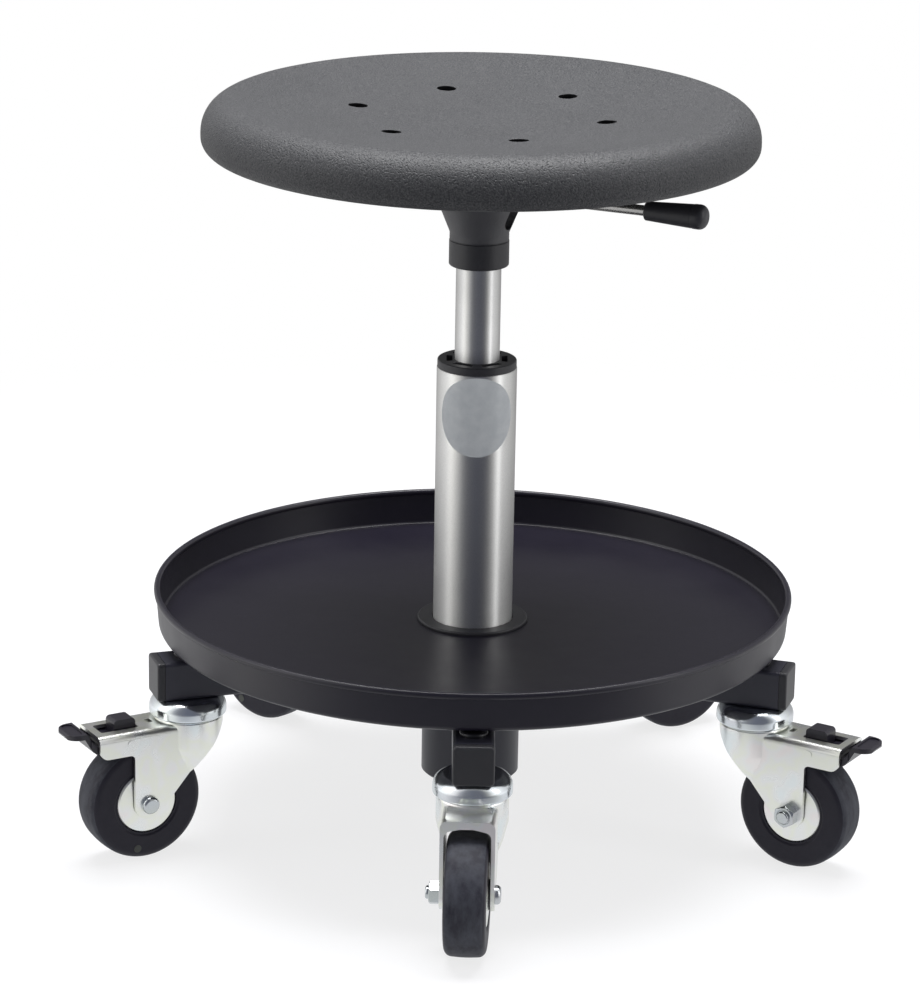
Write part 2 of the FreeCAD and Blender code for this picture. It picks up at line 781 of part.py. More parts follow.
# Sleeve: plastic skirt on the cylinder under the socket.
socket_sleeve = new_body("socket_sleeve")
turned(socket_sleeve, "turn", "XZ", "V_Axis", [
    ("cylinder_r + press_gap", "sleeve_low"),
    ("sleeve_d / 2", "sleeve_low", "sleeve_round"),
    ("sleeve_d / 2", "socket_foot"),
    ("cylinder_r + press_gap", "socket_foot"),
])
nodes.append(socket_sleeve)


def pierce(body, name, circle_d, hole_r, turn_text, count, low, high):
    """A ring of round holes down through a disc."""
    sketch = draw(body, name, "XY", high)
    circle(sketch, f"{circle_d} / 2 * cos({turn_text})", f"{circle_d} / 2 * sin({turn_text})",
           hole_r)
    first = pocket(body, name + "_bore", sketch, f"{high} - ({low})")
    around(body, name + "_ring", first, count)


# Seat board: painted plywood disc, vented and drilled for the socket's screws.
seat_board = ring("seat_board", "seat_low", "board_top", "0", "board_r")
pierce(seat_board, "vents", "vent_circle_d", "vent_d / 2", "vent_turn", "vent_count",
       "seat_low - overrun", "board_top + overrun")
pierce(seat_board, "pilots", "screw_circle_d", "screw_d / 2 + press_gap", "lever_turn",
       "screw_count", "seat_low - overrun", "board_top + overrun")
nodes.append(seat_board)

# Screws: pan heads under the socket's flange.
screws = []
for k in range(int(value("screw_count"))):
    screw = new_body(f"screw_{k + 1}")
    turned(screw, "turn", "XZ", "V_Axis", [
        ("0", "flange_low - screw_head_t"),
        ("screw_head_d / 2", "flange_low - screw_head_t", "screw_head_r"),
        ("screw_head_d / 2", "flange_low"),
        ("screw_d / 2", "flange_low"),
        ("screw_d / 2", "seat_low + screw_grip"),
        ("0", "seat_low + screw_grip"),
    ])
    angle = f"(lever_turn + {k} * 360 / screw_count)"
    place(screw, f"screw_circle_d / 2 * cos({angle})", f"screw_circle_d / 2 * sin({angle})")
    screws.append(screw)
nodes.append(group("seat_screws", screws))

# Seat: round moulded foam with a dished top, rounded edge and six vents.
seat_pad = new_body("seat_pad")
turned(seat_pad, "turn", "XZ", "V_Axis", [
    ("0", "board_top + hole_gap"),
    ("board_r + hole_gap", "board_top + hole_gap"),
    ("board_r + hole_gap", "seat_low"),
    ("seat_d / 2", "seat_low", "seat_low_r"),
    ("seat_d / 2", "seat_low + seat_edge_t", "seat_top_r"),
    ("seat_dish_d / 2", "seat_low + seat_centre_t", "seat_dish_r"),
    ("0", "seat_low + seat_centre_t"),
])
pierce(seat_pad, "vents", "vent_circle_d", "vent_d / 2", "vent_turn", "vent_count",
       "board_top - overrun", "seat_low + seat_edge_t + overrun")
nodes.append(seat_pad)

# Height lever: steel rod on a cross pin, its inner end over the valve button.
height_lever = new_body("height_lever")
rod_end = "grip_start + grip_bite"
turned(height_lever, "rod", "XZ", "H_Axis", [
    ("-lever_inner", "0"),
    (rod_end, "0"),
    (rod_end, "lever_rod_d / 2"),
    ("-lever_inner", "lever_rod_d / 2"),
])
eye = draw(height_lever, "eye", "XZ")
circle(eye, "lever_pivot_r", "0", "lever_pin_d / 2 + running_gap")
pocket(height_lever, "eye_bore", eye, "lever_rod_d + overrun", both_ways=True)
place(height_lever, z="lever_z", angle="lever_turn")
lever_grip = new_body("lever_grip")
turned(lever_grip, "grip", "XZ", "H_Axis", [
    ("grip_start", "lever_rod_d / 2 + press_gap"),
    (f"{rod_end} + seat_gap", "lever_rod_d / 2 + press_gap"),
    (f"{rod_end} + seat_gap", "0"),
    ("grip_start + grip_length", "0"),
    ("grip_start + grip_length", "grip_big_d / 2", "grip_end_r"),
    ("grip_start", "grip_small_d / 2", "grip_start_r"),
])
place(lever_grip, z="lever_z", angle="lever_turn")
lever_pin = new_body("lever_pin")
turned(lever_pin, "pin", "YZ", "H_Axis", [
    ("-lever_pin_l / 2", "0"),
    ("lever_pin_l / 2", "0"),
    ("lever_pin_l / 2", "lever_pin_d / 2"),
    ("-lever_pin_l / 2", "lever_pin_d / 2"),
])
place(lever_pin, "lever_pivot_r * cos(lever_turn)", "lever_pivot_r * sin(lever_turn)",
      "lever_z", "lever_turn")
nodes += [height_lever, lever_grip, lever_pin]


def press_front(fork):
    """The dish in the top of a plain fork and the arch of its lip over the wheel."""
    dish = draw(fork, "dish", "XY", "plate_top + overrun")
    side = "fork_in - dish_inset"
    outline(dish, [
        ("head_r", f"-({side})"),
        ("leg_front - fork_sheet", f"-({side})", "dish_corner_r"),
        ("leg_front - fork_sheet", side, "dish_corner_r"),
        ("head_r", side),
    ])
    pocket(fork, "dishing", dish, "dish_depth + overrun")
    arch = draw(fork, "arch", "YZ", "leg_front + overrun")
    outline(arch, [
        ("-fork_in", "leg_foot - overrun"),
        ("fork_in", "leg_foot - overrun"),
        ("fork_in", "plate_top - lip_side", "lip_corner_r"),
        ("0", "plate_top - lip_middle", "lip_arch_r"),
        ("-fork_in", "plate_top - lip_side", "lip_corner_r"),
    ])
    pocket(fork, "arching", arch, "fork_sheet + 2 * overrun")


def make_fork(arm):
    """Pressed fork: round head, flat top plate and two legs, all of one sheet."""
    braked = arm in BRAKED
    fork = new_body("fork_" + arm)
    turned(fork, "head", "XZ", "V_Axis", [
        ("0", "taper_low"),
        ("fork_out", "taper_low"),
        ("head_r", "shoulder_low"),
        ("head_r", "head_top", "head_round"),
        ("crown_r", "head_top"),
        ("crown_r", "crown_top", "crown_round"),
        ("0", "crown_top"),
    ])
    if braked:
        front = [
            ("leg_front", "leg_foot", "leg_end_r"),
            ("leg_front", "skirt_low", "channel_inner_r"),
            ("channel_end - seat_gap", "skirt_low", "channel_end_r"),
            ("channel_end", "plate_top"),
        ]
    else:
        front = [("leg_front", "leg_foot", "leg_end_r"), ("leg_front", "plate_top")]
    slope = "(plate_top - leg_foot) / (leg_front + head_r)"
    side = draw(fork, "side", "XZ")
    outline(side, front + [("0", "plate_top"), ("0", f"plate_top - {slope} * head_r")])
    pad(fork, "legs", side, "2 * fork_out", both_ways=True)
    # the back edge of the legs runs on through the round head
    back = draw(fork, "back", "XZ")
    outline(back, [
        ("-head_r - overrun", f"plate_top + {slope} * overrun"),
        ("-head_r - overrun", "leg_foot - overrun"),
        ("leg_front", "leg_foot - overrun"),
        ("leg_front", "leg_foot"),
    ])
    pocket(fork, "back_trim", back, "2 * (head_r + overrun)", both_ways=True)
    outer_y = value("fork_out")
    top_z = value("plate_top")
    fillet(fork, "bends", "fork_bend_r",
           lambda edge: lies_at(edge, z=top_z)
           and (lies_at(edge, y=outer_y) or lies_at(edge, y=-outer_y)))
    # hollow under the head and between the legs
    turned(fork, "hollow", "XZ", "V_Axis", [
        ("0", "taper_low - overrun"),
        ("fork_in", "taper_low - overrun"),
        ("fork_in", "taper_low"),
        ("head_r - fork_sheet", "shoulder_low"),
        ("head_r - fork_sheet", "head_top - fork_sheet"),
        ("crown_r - fork_sheet", "head_top - fork_sheet"),
        ("crown_r - fork_sheet", "crown_top - fork_sheet"),
        ("0", "crown_top - fork_sheet"),
    ], cut=True)
    gap = draw(fork, "gap", "XZ")
    if braked:
        ceiling = [
            ("channel_end + overrun", "leg_foot - overrun"),
            ("channel_end + overrun", "plate_under"),
        ]
    else:
        # the panel sinks by its dish, and the front wall stays for the lip
        ceiling = [
            ("leg_front - fork_sheet", "leg_foot - overrun"),
            ("leg_front - fork_sheet", "plate_under - dish_depth"),
            ("head_r - fork_sheet", "plate_under - dish_depth"),
            ("head_r - fork_sheet", "plate_under"),
        ]
    outline(gap, [("0", "leg_foot - overrun")] + ceiling + [("0", "plate_under")])
    pocket(fork, "wheel_gap", gap, "2 * fork_in", both_ways=True)
    if not braked:
        press_front(fork)
    bore = draw(fork, "bore", "XY", "crown_top + overrun")
    circle(bore, "0", "0", "bolt_bore_r")
    pocket(fork, "king_bore", bore, "crown_top - head_top + fork_sheet + 2 * overrun")
    axle = draw(fork, "axle", "XZ")
    circle(axle, "castor_trail", "axle_z", "axle_d / 2 + press_gap")
    if braked:
        circle(axle, "pivot_x", "pivot_z", "brake_pin_d / 2 + press_gap")
    pocket(fork, "axle_bores", axle, "2 * (fork_out + overrun)", both_ways=True)
    if braked:
        slots = draw(fork, "slots", "XY", "plate_top + overrun")
        outline(slots, [
            ("castor_trail + slot_inner", "-slot_w / 2", "slot_corner_r"),
            ("castor_trail + slot_outer", "-slot_w / 2", "slot_corner_r"),
            ("castor_trail + slot_outer", "slot_w / 2", "slot_corner_r"),
            ("castor_trail + slot_inner", "slot_w / 2", "slot_corner_r"),
        ])
        outline(slots, [
            ("castor_trail - peep_inner", "-peep_w / 2"),
            ("castor_trail - peep_inner + peep_l", "-peep_w / 2"),
            ("castor_trail - peep_inner + peep_l", "peep_w / 2"),
            ("castor_trail - peep_inner", "peep_w / 2"),
        ])
        pocket(fork, "slotting", slots, "fork_sheet + 2 * overrun")
    return place_castor(fork, arm)


def make_axle(arm):
    """Axle bolt with its head on one side, spacer tube, and nut on the other side."""
    bolt = new_body("axle_bolt_" + arm)
    turned(bolt, "turn", "YZ", "H_Axis", [
        ("-(fork_out + axle_nut_t + axle_tail)", "0"),
        ("fork_out + axle_head_t", "0"),
        ("fork_out + axle_head_t", "axle_head_d / 2", "axle_head_round"),
        ("fork_out", "axle_head_d / 2"),
        ("fork_out", "axle_d / 2"),
        ("-(fork_out + axle_nut_t + axle_tail)", "axle_d / 2"),
    ])
    spacer = new_body("spacer_" + arm)
    turned(spacer, "turn", "YZ", "H_Axis", [
        ("-(fork_in - running_gap)", "axle_d / 2 + running_gap"),
        ("fork_in - running_gap", "axle_d / 2 + running_gap"),
        ("fork_in - running_gap", "axle_d / 2 + spacer_wall"),
        ("-(fork_in - running_gap)", "axle_d / 2 + spacer_wall"),
    ])
    nut = new_body("axle_nut_" + arm)
    flats = draw(nut, "flats", "XZ", "fork_out")
    hexagon(flats, "0", "0", "axle_nut_af")
    circle(flats, "0", "0", "axle_d / 2 + press_gap")
    pad(nut, "thickness", flats, "axle_nut_t")
    for item in (bolt, spacer, nut):
        place_castor(item, arm, "castor_trail", "axle_z")
    return group("axle_" + arm, [bolt, spacer, nut])


def make_wheel(arm):
    """Tyre, core and the two pressed caps that cover the core's faces."""
    half = "wheel_w / 2"
    inner = f"({half} - tyre_wall_step)"
    tyre = new_body("tyre_" + arm)
    turned(tyre, "turn", "YZ", "H_Axis", [
        (f"-{half}", "wheel_d / 2", "tyre_shoulder_r"),
        (f"-{half}", "tyre_wall_d / 2"),
        (f"-{inner}", "tyre_wall_d / 2 - tyre_wall_step"),
        (f"-{inner}", "core_d / 2 + seat_gap"),
        (inner, "core_d / 2 + seat_gap"),
        (inner, "tyre_wall_d / 2 - tyre_wall_step"),
        (half, "tyre_wall_d / 2"),
        (half, "wheel_d / 2", "tyre_shoulder_r"),
    ])
    core = new_body("wheel_core_" + arm)
    boss = "(fork_in - hole_gap)"
    bore = "axle_d / 2 + spacer_wall + running_gap"
    turned(core, "turn", "YZ", "H_Axis", [
        (f"-{boss}", bore),
        (boss, bore),
        (boss, "core_boss_d / 2"),
        ("core_web_w / 2", "core_boss_d / 2"),
        ("core_web_w / 2", "core_d / 2"),
        ("-core_web_w / 2", "core_d / 2"),
        ("-core_web_w / 2", "core_boss_d / 2"),
        (f"-{boss}", "core_boss_d / 2"),
    ])
    covers = []
    for side, name in (("", "outer"), ("-", "inner")):
        cover = new_body(f"cap_{name}_{arm}")
        turned(cover, "turn", "YZ", "H_Axis", [
            (f"{side}core_web_w / 2", "core_boss_d / 2 + press_gap"),
            (f"{side}(cap_rim_w / 2 + cap_crown)", "core_boss_d / 2 + press_gap"),
            (f"{side}cap_rim_w / 2", "core_d / 2 - cap_edge"),
            (f"{side}(cap_rim_w / 2 - cap_edge)", "core_d / 2"),
            (f"{side}core_web_w / 2", "core_d / 2"),
        ])
        covers.append(cover)
    for item in [tyre, core] + covers:
        place_castor(item, arm, "castor_trail", "axle_z")
    return [tyre, core, group("wheel_caps_" + arm, covers)]


# The pedal's side outline about its pivot, in shares of its reach and of the pivot's
# drop below the plate: rocker under the plate, brake shoe, neck, and the tab one steps on.
TAB_START_SHARE, TAB_END_SHARE, TAB_TOP_SHARE = 0.696, 0.962, 1.36
PEDAL_SHARES = [
    (-0.253, 0.29), (-0.253, -0.19), (-0.051, -0.41), (0.152, -0.57), (0.215, -0.99),
    (0.278, -1.21), (0.443, -1.14), (0.62, -0.29), (0.739, 0.9), (0.975, 0.9),
    (1, 1.16), (TAB_END_SHARE, TAB_TOP_SHARE), (TAB_START_SHARE, TAB_TOP_SHARE),
    (0.582, 0.14), (0.468, 0), (0.354, 0.54),
]
TAB_ROOT_SHARE = 0.64


def make_brake(arm):
    """Rocker pedal with its release block, and the pin that it rocks on."""
    pedal = new_body("brake_pedal_" + arm)
    side = draw(pedal, "side", "XZ")
    outline(side, [(f"{x} * pedal_reach", f"{y} * pivot_drop") for x, y in PEDAL_SHARES])
    pad(pedal, "rocker", side, "2 * pedal_half", both_ways=True)
    block = draw(pedal, "block", "XZ")
    outline(block, [
        ("-block_l / 2", "0"),
        ("block_l / 2", "0"),
        ("block_l / 2", "block_h", "block_edge_r"),
        ("-block_l / 2", "block_h", "block_edge_r"),
    ])
    pad(pedal, "release_block", block, "block_w", both_ways=True)
    # the tab is round in plan and narrower than the rocker
    plan = draw(pedal, "plan", "XY")
    tab_root = f"{TAB_ROOT_SHARE} * pedal_reach"
    half = "pedal_tab_w / 2"
    outline(plan, [
        (tab_root, "-pedal_half - overrun"),
        (tab_root, f"-{half}"),
        ("pedal_reach", f"-{half}", "pedal_tab_r"),
        ("pedal_reach", half, "pedal_tab_r"),
        (tab_root, half),
        (tab_root, "pedal_half + overrun"),
        ("pedal_reach + overrun", "pedal_half + overrun"),
        ("pedal_reach + overrun", "-pedal_half - overrun"),
    ])
    pocket(pedal, "tab_plan", plan, "2 * (pivot_drop + block_h)", both_ways=True)
    # the foot presses in a shallow dish on top of the tab
    dish = draw(pedal, "dish", "XY", f"{TAB_TOP_SHARE} * pivot_drop")
    dish_start = f"{TAB_START_SHARE} * pedal_reach + pedal_dish_edge"
    dish_end = f"{TAB_END_SHARE} * pedal_reach - pedal_dish_edge"
    dish_half = "(pedal_tab_w / 2 - pedal_dish_edge)"
    outline(dish, [
        (dish_start, f"-{dish_half}", "pedal_dish_r"),
        (dish_end, f"-{dish_half}", "pedal_dish_r"),
        (dish_end, dish_half, "pedal_dish_r"),
        (dish_start, dish_half, "pedal_dish_r"),
    ])
    pocket(pedal, "tab_dish", dish, "pedal_dish")
    bore = draw(pedal, "bore", "XZ")
    circle(bore, "0", "0", "brake_pin_d / 2 + running_gap")
    pocket(pedal, "pin_bore", bore, "2 * (pedal_half + overrun)", both_ways=True)
    place_castor(pedal, arm, "pivot_x", "pivot_z")
    pin = new_body("brake_pin_" + arm)
    turned(pin, "turn", "YZ", "H_Axis", [
        ("-(fork_out + brake_pin_head)", "0"),
        ("fork_out + brake_pin_head", "0"),
        ("fork_out + brake_pin_head", "brake_pin_d / 2"),
        ("-(fork_out + brake_pin_head)", "brake_pin_d / 2"),
    ])
    place_castor(pin, arm, "pivot_x", "pivot_z")
    return [pedal, pin]


for arm in ARMS:
    nodes.append(make_fork(arm))
    nodes.append(make_axle(arm))
    nodes += make_wheel(arm)
    if arm in BRAKED:
        nodes += make_brake(arm)

doc.recompute()

# Nothing is written unless every feature worked and every cut took material away.
faults = [f"{item.Name}: {item.State}" for item in doc.Objects
          if "Invalid" in item.State or "Error" in item.State]
if faults:
    raise SystemExit("\n".join(faults))
for item in doc.Objects:
    if item.TypeId in ("PartDesign::Pocket", "PartDesign::Groove"):
        if not item.Shape.Volume < item.BaseFeature.Shape.Volume:
            faults.append(f"{item.Name}: cuts nothing")
for node in nodes:
    if node.Shape.isNull() or not node.Shape.isValid():
        faults.append(f"{node.Label}: no valid shape")
if faults:
    raise SystemExit("\n".join(faults))

os.makedirs("parts", exist_ok=True)
for node in nodes:
    node.Shape.exportStep(f"parts/{node.Label}.step")
print(len(nodes), "nodes written")
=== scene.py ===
import json
import math
import bpy
import bmesh
from mathutils import Matrix, Vector


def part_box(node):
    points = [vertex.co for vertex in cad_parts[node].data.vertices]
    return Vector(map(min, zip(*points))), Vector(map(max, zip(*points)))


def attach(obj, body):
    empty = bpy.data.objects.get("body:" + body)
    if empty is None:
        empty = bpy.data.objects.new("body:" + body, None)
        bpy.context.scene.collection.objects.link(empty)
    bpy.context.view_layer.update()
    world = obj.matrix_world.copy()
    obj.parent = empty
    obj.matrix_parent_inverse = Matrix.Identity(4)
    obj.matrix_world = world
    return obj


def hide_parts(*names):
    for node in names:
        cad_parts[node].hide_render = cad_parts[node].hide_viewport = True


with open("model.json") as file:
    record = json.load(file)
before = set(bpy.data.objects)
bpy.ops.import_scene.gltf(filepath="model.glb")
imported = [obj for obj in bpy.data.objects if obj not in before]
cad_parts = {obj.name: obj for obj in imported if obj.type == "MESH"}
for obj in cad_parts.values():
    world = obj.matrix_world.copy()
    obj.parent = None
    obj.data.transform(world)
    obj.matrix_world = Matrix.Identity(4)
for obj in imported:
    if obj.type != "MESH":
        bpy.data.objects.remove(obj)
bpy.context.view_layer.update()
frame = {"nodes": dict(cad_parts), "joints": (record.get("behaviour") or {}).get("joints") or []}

nodes = frame["nodes"]
joint_at = {joint["name"]: Vector(joint["pos_m"])
            for joint in frame["joints"] if "pos_m" in joint}
collection = bpy.context.scene.collection
bpy.context.scene.view_settings.view_transform = "Standard"


# Camera. A long lens stands in front of the front arm and looks down a little on the tray,
# with the film shifted so that the column is right of the middle.
camera_lens = 139.28
camera_film = 36
camera_shift = -0.02364
camera_distance = 2.4315
camera_aim = Vector((0.00574, 0, 0.21067))
camera_elevation = math.radians(17.58)
camera_turn = math.radians(-0.78)
camera_roll = math.radians(1.1)
camera_data = bpy.data.cameras.new("camera")
camera_data.sensor_fit = "VERTICAL"
camera_data.sensor_height = camera_film
camera_data.lens = camera_lens
camera_data.shift_x = camera_shift
camera = bpy.data.objects.new("camera", camera_data)
collection.objects.link(camera)
camera.matrix_world = (
    Matrix.Rotation(camera_turn, 4, "Z")
    @ Matrix.Translation(camera_aim)
    @ Matrix.Rotation(math.pi / 2 - camera_elevation, 4, "X")
    @ Matrix.Rotation(camera_roll, 4, "Z")
    @ Matrix.Translation((0, 0, camera_distance))
)
bpy.context.scene.camera = camera


# Studio. A pale table that runs out to white under a wide soft lamp, with a dark room behind
# the camera and bright cards at both sides, as a stool is photographed for a catalogue.
def add(tree, kind, sockets=None, **settings):
    """A shader node; a value goes to its socket and another node's socket is linked."""
    made = tree.nodes.new("ShaderNode" + kind)
    for key, value in settings.items():
        setattr(made, key, value)
    for key, value in (sockets or {}).items():
        if isinstance(value, bpy.types.NodeSocket):
            tree.links.new(value, made.inputs[key])
        else:
            made.inputs[key].default_value = value
    return made


def ramp(tree, factor, stops, interpolation="LINEAR"):
    """A colour ramp's output; each stop is a place and a colour or a grey."""
    made = add(tree, "ValToRGB", {"Fac": factor})
    made.color_ramp.interpolation = interpolation
    marks = made.color_ramp.elements
    while len(marks) < len(stops):
        marks.new(1)
    for mark, (place, colour) in zip(marks, stops):
        mark.position = place
        grey = isinstance(colour, (int, float))
        mark.color = (colour, colour, colour, 1) if grey else (*colour, 1)
    return made.outputs["Color"]


def mixed(tree, factor, first, second):
    """One colour going over into another."""
    return add(tree, "Mix", {"Factor": factor, 6: first, 7: second}, data_type="RGBA").outputs[2]


def room(tree, point):
    """What metal sees round the table: dark in front and at the back, a card at each side.

    The stops go once round, from the back over the left, the camera and the right.
    """
    apart = add(tree, "SeparateXYZ", {"Vector": point})
    front = add(tree, "Math", {0: apart.outputs["Y"], 1: -1.0}, operation="MULTIPLY").outputs[0]
    bearing = add(tree, "Math", {0: apart.outputs["X"], 1: front}, operation="ARCTAN2").outputs[0]
    share = add(tree, "MapRange", {"Value": bearing, "From Min": -math.pi, "From Max": math.pi})
    back_to_left = [(0.0, 0.17), (0.035, 0.24), (0.07, 0.55), (0.15, 0.78)]
    left_card = [(0.25, 1.3), (0.31, (1.3, 1.29, 1.24)), (0.36, 0.95)]
    behind_camera = [(0.395, (0.4, 0.41, 0.43)), (0.43, (0.22, 0.225, 0.25)),
                     (0.5, (0.15, 0.158, 0.195)), (0.59, (0.15, 0.155, 0.18)), (0.63, 0.42)]
    right_card = [(0.67, 1.12), (0.71, 1.12), (0.75, 1.0)]
    right_to_back = [(0.87, 0.52), (0.93, 0.42), (0.97, 0.2), (1.0, 0.17)]
    return ramp(tree, share.outputs["Result"],
                back_to_left + left_card + behind_camera + right_card + right_to_back)


floor_radius = 12
floor_near = 0.45
floor_far = 1.1
floor_lift = 0.78
mirror_near = 0.22
mirror_far = 0.55
ceiling_start = 0.88
white = (1, 1, 1, 1)
table_finish = bpy.data.materials.new("pale_table")
table_finish.use_nodes = True
tree = table_finish.node_tree
tree.nodes.clear()
output = tree.nodes.new("ShaderNodeOutputMaterial")
here = add(tree, "TexCoord").outputs["Object"]
reach = add(tree, "VectorMath", {0: here}, operation="LENGTH").outputs["Value"]
far = add(tree, "MapRange", {"Value": reach, "From Min": floor_near, "From Max": floor_far},
          interpolation_type="SMOOTHSTEP").outputs["Result"]
away = add(tree, "MapRange", {"Value": reach, "From Min": mirror_near, "From Max": mirror_far},
           interpolation_type="SMOOTHSTEP").outputs["Result"]
mirrored = add(tree, "Emission", {"Color": mixed(tree, away, (0.76, 0.77, 0.78, 1),
                                                 room(tree, here))})
bounced = add(tree, "BsdfDiffuse", {"Color": (0.5, 0.5, 0.5, 1)})
shaded = add(tree, "BsdfDiffuse", {"Color": (0.24, 0.24, 0.25, 1)})
lift = add(tree, "Emission", {"Color": white, "Strength": floor_lift})
lifted = add(tree, "AddShader", {0: shaded.outputs[0], 1: lift.outputs[0]})
paper = add(tree, "Emission", {"Color": white, "Strength": 1.0})
seen = add(tree, "MixShader", {"Fac": far, 1: lifted.outputs[0], 2: paper.outputs[0]})
path = add(tree, "LightPath")
glossy = add(tree, "MixShader", {"Fac": path.outputs["Is Glossy Ray"], 1: bounced.outputs[0],
                                 2: mirrored.outputs[0]})
table = add(tree, "MixShader", {"Fac": path.outputs["Is Camera Ray"], 1: glossy.outputs[0],
                                2: seen.outputs[0]})
tree.links.new(table.outputs[0], output.inputs["Surface"])

shape = bmesh.new()
bmesh.ops.create_circle(shape, cap_ends=True, segments=96, radius=floor_radius)
floor_mesh = bpy.data.meshes.new("table")
shape.to_mesh(floor_mesh)
shape.free()
floor_mesh.materials.append(table_finish)
floor = bpy.data.objects.new("table", floor_mesh)
collection.objects.link(floor)

world = bpy.data.worlds.new("studio")
bpy.context.scene.world = world
world.use_nodes = True
tree = world.node_tree
tree.nodes.clear()
output = tree.nodes.new("ShaderNodeOutputWorld")
way = add(tree, "TexCoord").outputs["Generated"]
height = add(tree, "SeparateXYZ", {"Vector": way}).outputs["Z"]
ceiling = add(tree, "MapRange", {"Value": height, "From Min": ceiling_start, "From Max": 1.0},
              interpolation_type="SMOOTHSTEP").outputs["Result"]
around = add(tree, "Background", {"Color": mixed(tree, ceiling, room(tree, way),
                                                 (0.36, 0.36, 0.37, 1))})
soft = add(tree, "Background", {"Color": (0.29, 0.295, 0.315, 1)})
paper = add(tree, "Background", {"Color": white, "Strength": 1.0})
path = add(tree, "LightPath")
lit = add(tree, "MixShader", {"Fac": path.outputs["Is Glossy Ray"], 1: soft.outputs[0],
                              2: around.outputs[0]})
seen = add(tree, "MixShader", {"Fac": path.outputs["Is Camera Ray"], 1: lit.outputs[0],
                               2: paper.outputs[0]})
tree.links.new(seen.outputs[0], output.inputs["Surface"])

lamp_aim = Vector((0, 0, 0.3))
for lamp_name, lamp_place, lamp_size, lamp_power in [
    ("lamp_above", (0.0, 0.3, 2.2), (1.8, 1.3), 76),
    ("lamp_left", (-1.9, -0.5, 1.0), (0.8, 1.4), 4),
    ("lamp_right", (1.85, -0.68, 0.95), (0.35, 1.4), 5),
]:
    lamp_data = bpy.data.lights.new(lamp_name, "AREA")
    lamp_data.shape = "RECTANGLE"
    lamp_data.size, lamp_data.size_y = lamp_size
    lamp_data.energy = lamp_power
    lamp = bpy.data.objects.new(lamp_name, lamp_data)
    collection.objects.link(lamp)
    lamp.location = lamp_place
    lamp.rotation_euler = (lamp_aim - lamp.location).to_track_quat("-Z", "Y").to_euler()


# Moulded seat. Integral-skin polyurethane foam in one piece: a dished top with a raised rim,
# a rounded edge and six vents, bonded to the board under it.
def arc_offset(before, corner, after, radius):
    """How far from a corner its round of this radius starts."""
    turning = (corner - before).angle(after - corner)
    return radius * math.tan(turning / 2)


def turned(corners, steps, closed=False, arc_steps=6):
    """A shape turned about Z from (radius, height, round) corners, the round left out if none.

    An open run starts and ends on the axis, and a closed one is the section of a ring.
    """
    shape = bmesh.new()
    points = [Vector((corner[0], 0, corner[1])) for corner in corners]
    verts = [shape.verts.new(point) for point in points]
    count = len(verts)
    for i in range(count if closed else count - 1):
        shape.edges.new((verts[i], verts[(i + 1) % count]))
    for i, corner in enumerate(corners):
        if len(corner) > 2 and corner[2] > 0:
            offset = arc_offset(points[i - 1], points[i], points[(i + 1) % count], corner[2])
            bmesh.ops.bevel(shape, geom=[verts[i]], affect="VERTICES", offset=offset,
                            offset_type="OFFSET", segments=arc_steps, profile=0.5, material=-1)
    bmesh.ops.spin(shape, geom=shape.verts[:] + shape.edges[:], cent=(0, 0, 0), axis=(0, 0, 1),
                   angle=math.tau, steps=steps, use_merge=True)
    bmesh.ops.remove_doubles(shape, verts=shape.verts[:], dist=1e-6)
    bmesh.ops.recalc_face_normals(shape, faces=shape.faces[:])
    return shape


def piece(name, shape, look, crease=32):
    """An object from a finished shape, smooth but for edges sharper than the crease."""
    mesh = bpy.data.meshes.new(name)
    shape.to_mesh(mesh)
    shape.free()
    mesh.shade_smooth()
    mesh.set_sharp_from_angle(angle=math.radians(crease))
    mesh.materials.append(look)
    made = bpy.data.objects.new(name, mesh)
    collection.objects.link(made)
    even = made.modifiers.new("even_shading", "WEIGHTED_NORMAL")
    even.keep_sharp = True
    return made


def finish(name, colour, roughness, metallic=0.0, **sockets):
    """A material with one shader: its even colour and gloss stand on the shader's sockets."""
    made = bpy.data.materials.new(name)
    made.use_nodes = True
    shader = made.node_tree.nodes["Principled BSDF"]
    shader.inputs["Base Color"].default_value = (*colour, 1)
    shader.inputs["Roughness"].default_value = roughness
    shader.inputs["Metallic"].default_value = metallic
    for key, value in sockets.items():
        shader.inputs[key.replace("_", " ").title().replace("Ior", "IOR")].default_value = value
    return made, made.node_tree, shader


def object_point(tree, scale=(1, 1, 1)):
    """Object coordinates, stretched by a scale for each axis."""
    here = add(tree, "TexCoord").outputs["Object"]
    return add(tree, "Mapping", {"Vector": here, "Scale": scale}).outputs["Vector"]


def noise(tree, point, scale, detail=4.0, roughness=0.55):
    """Smooth noise between 0 and 1, with its scale in cells per metre."""
    made = add(tree, "TexNoise", {"Vector": point, "Scale": scale, "Detail": detail,
                                  "Roughness": roughness})
    return made.outputs["Fac"]


def relief(tree, shader, layers):
    """Bumps one over the other; each layer is a height and how deep it is in metres."""
    normal = None
    for height, depth in layers:
        sockets = {"Height": height, "Distance": depth, "Strength": 1.0}
        if normal is not None:
            sockets["Normal"] = normal
        normal = add(tree, "Bump", sockets).outputs["Normal"]
    tree.links.new(normal, shader.inputs["Normal"])


def spread(tree, value, low, high, from_low=0.0, from_high=1.0):
    """A value led from one range to another."""
    return add(tree, "MapRange", {"Value": value, "From Min": from_low, "From Max": from_high,
                                  "To Min": low, "To Max": high}).outputs["Result"]


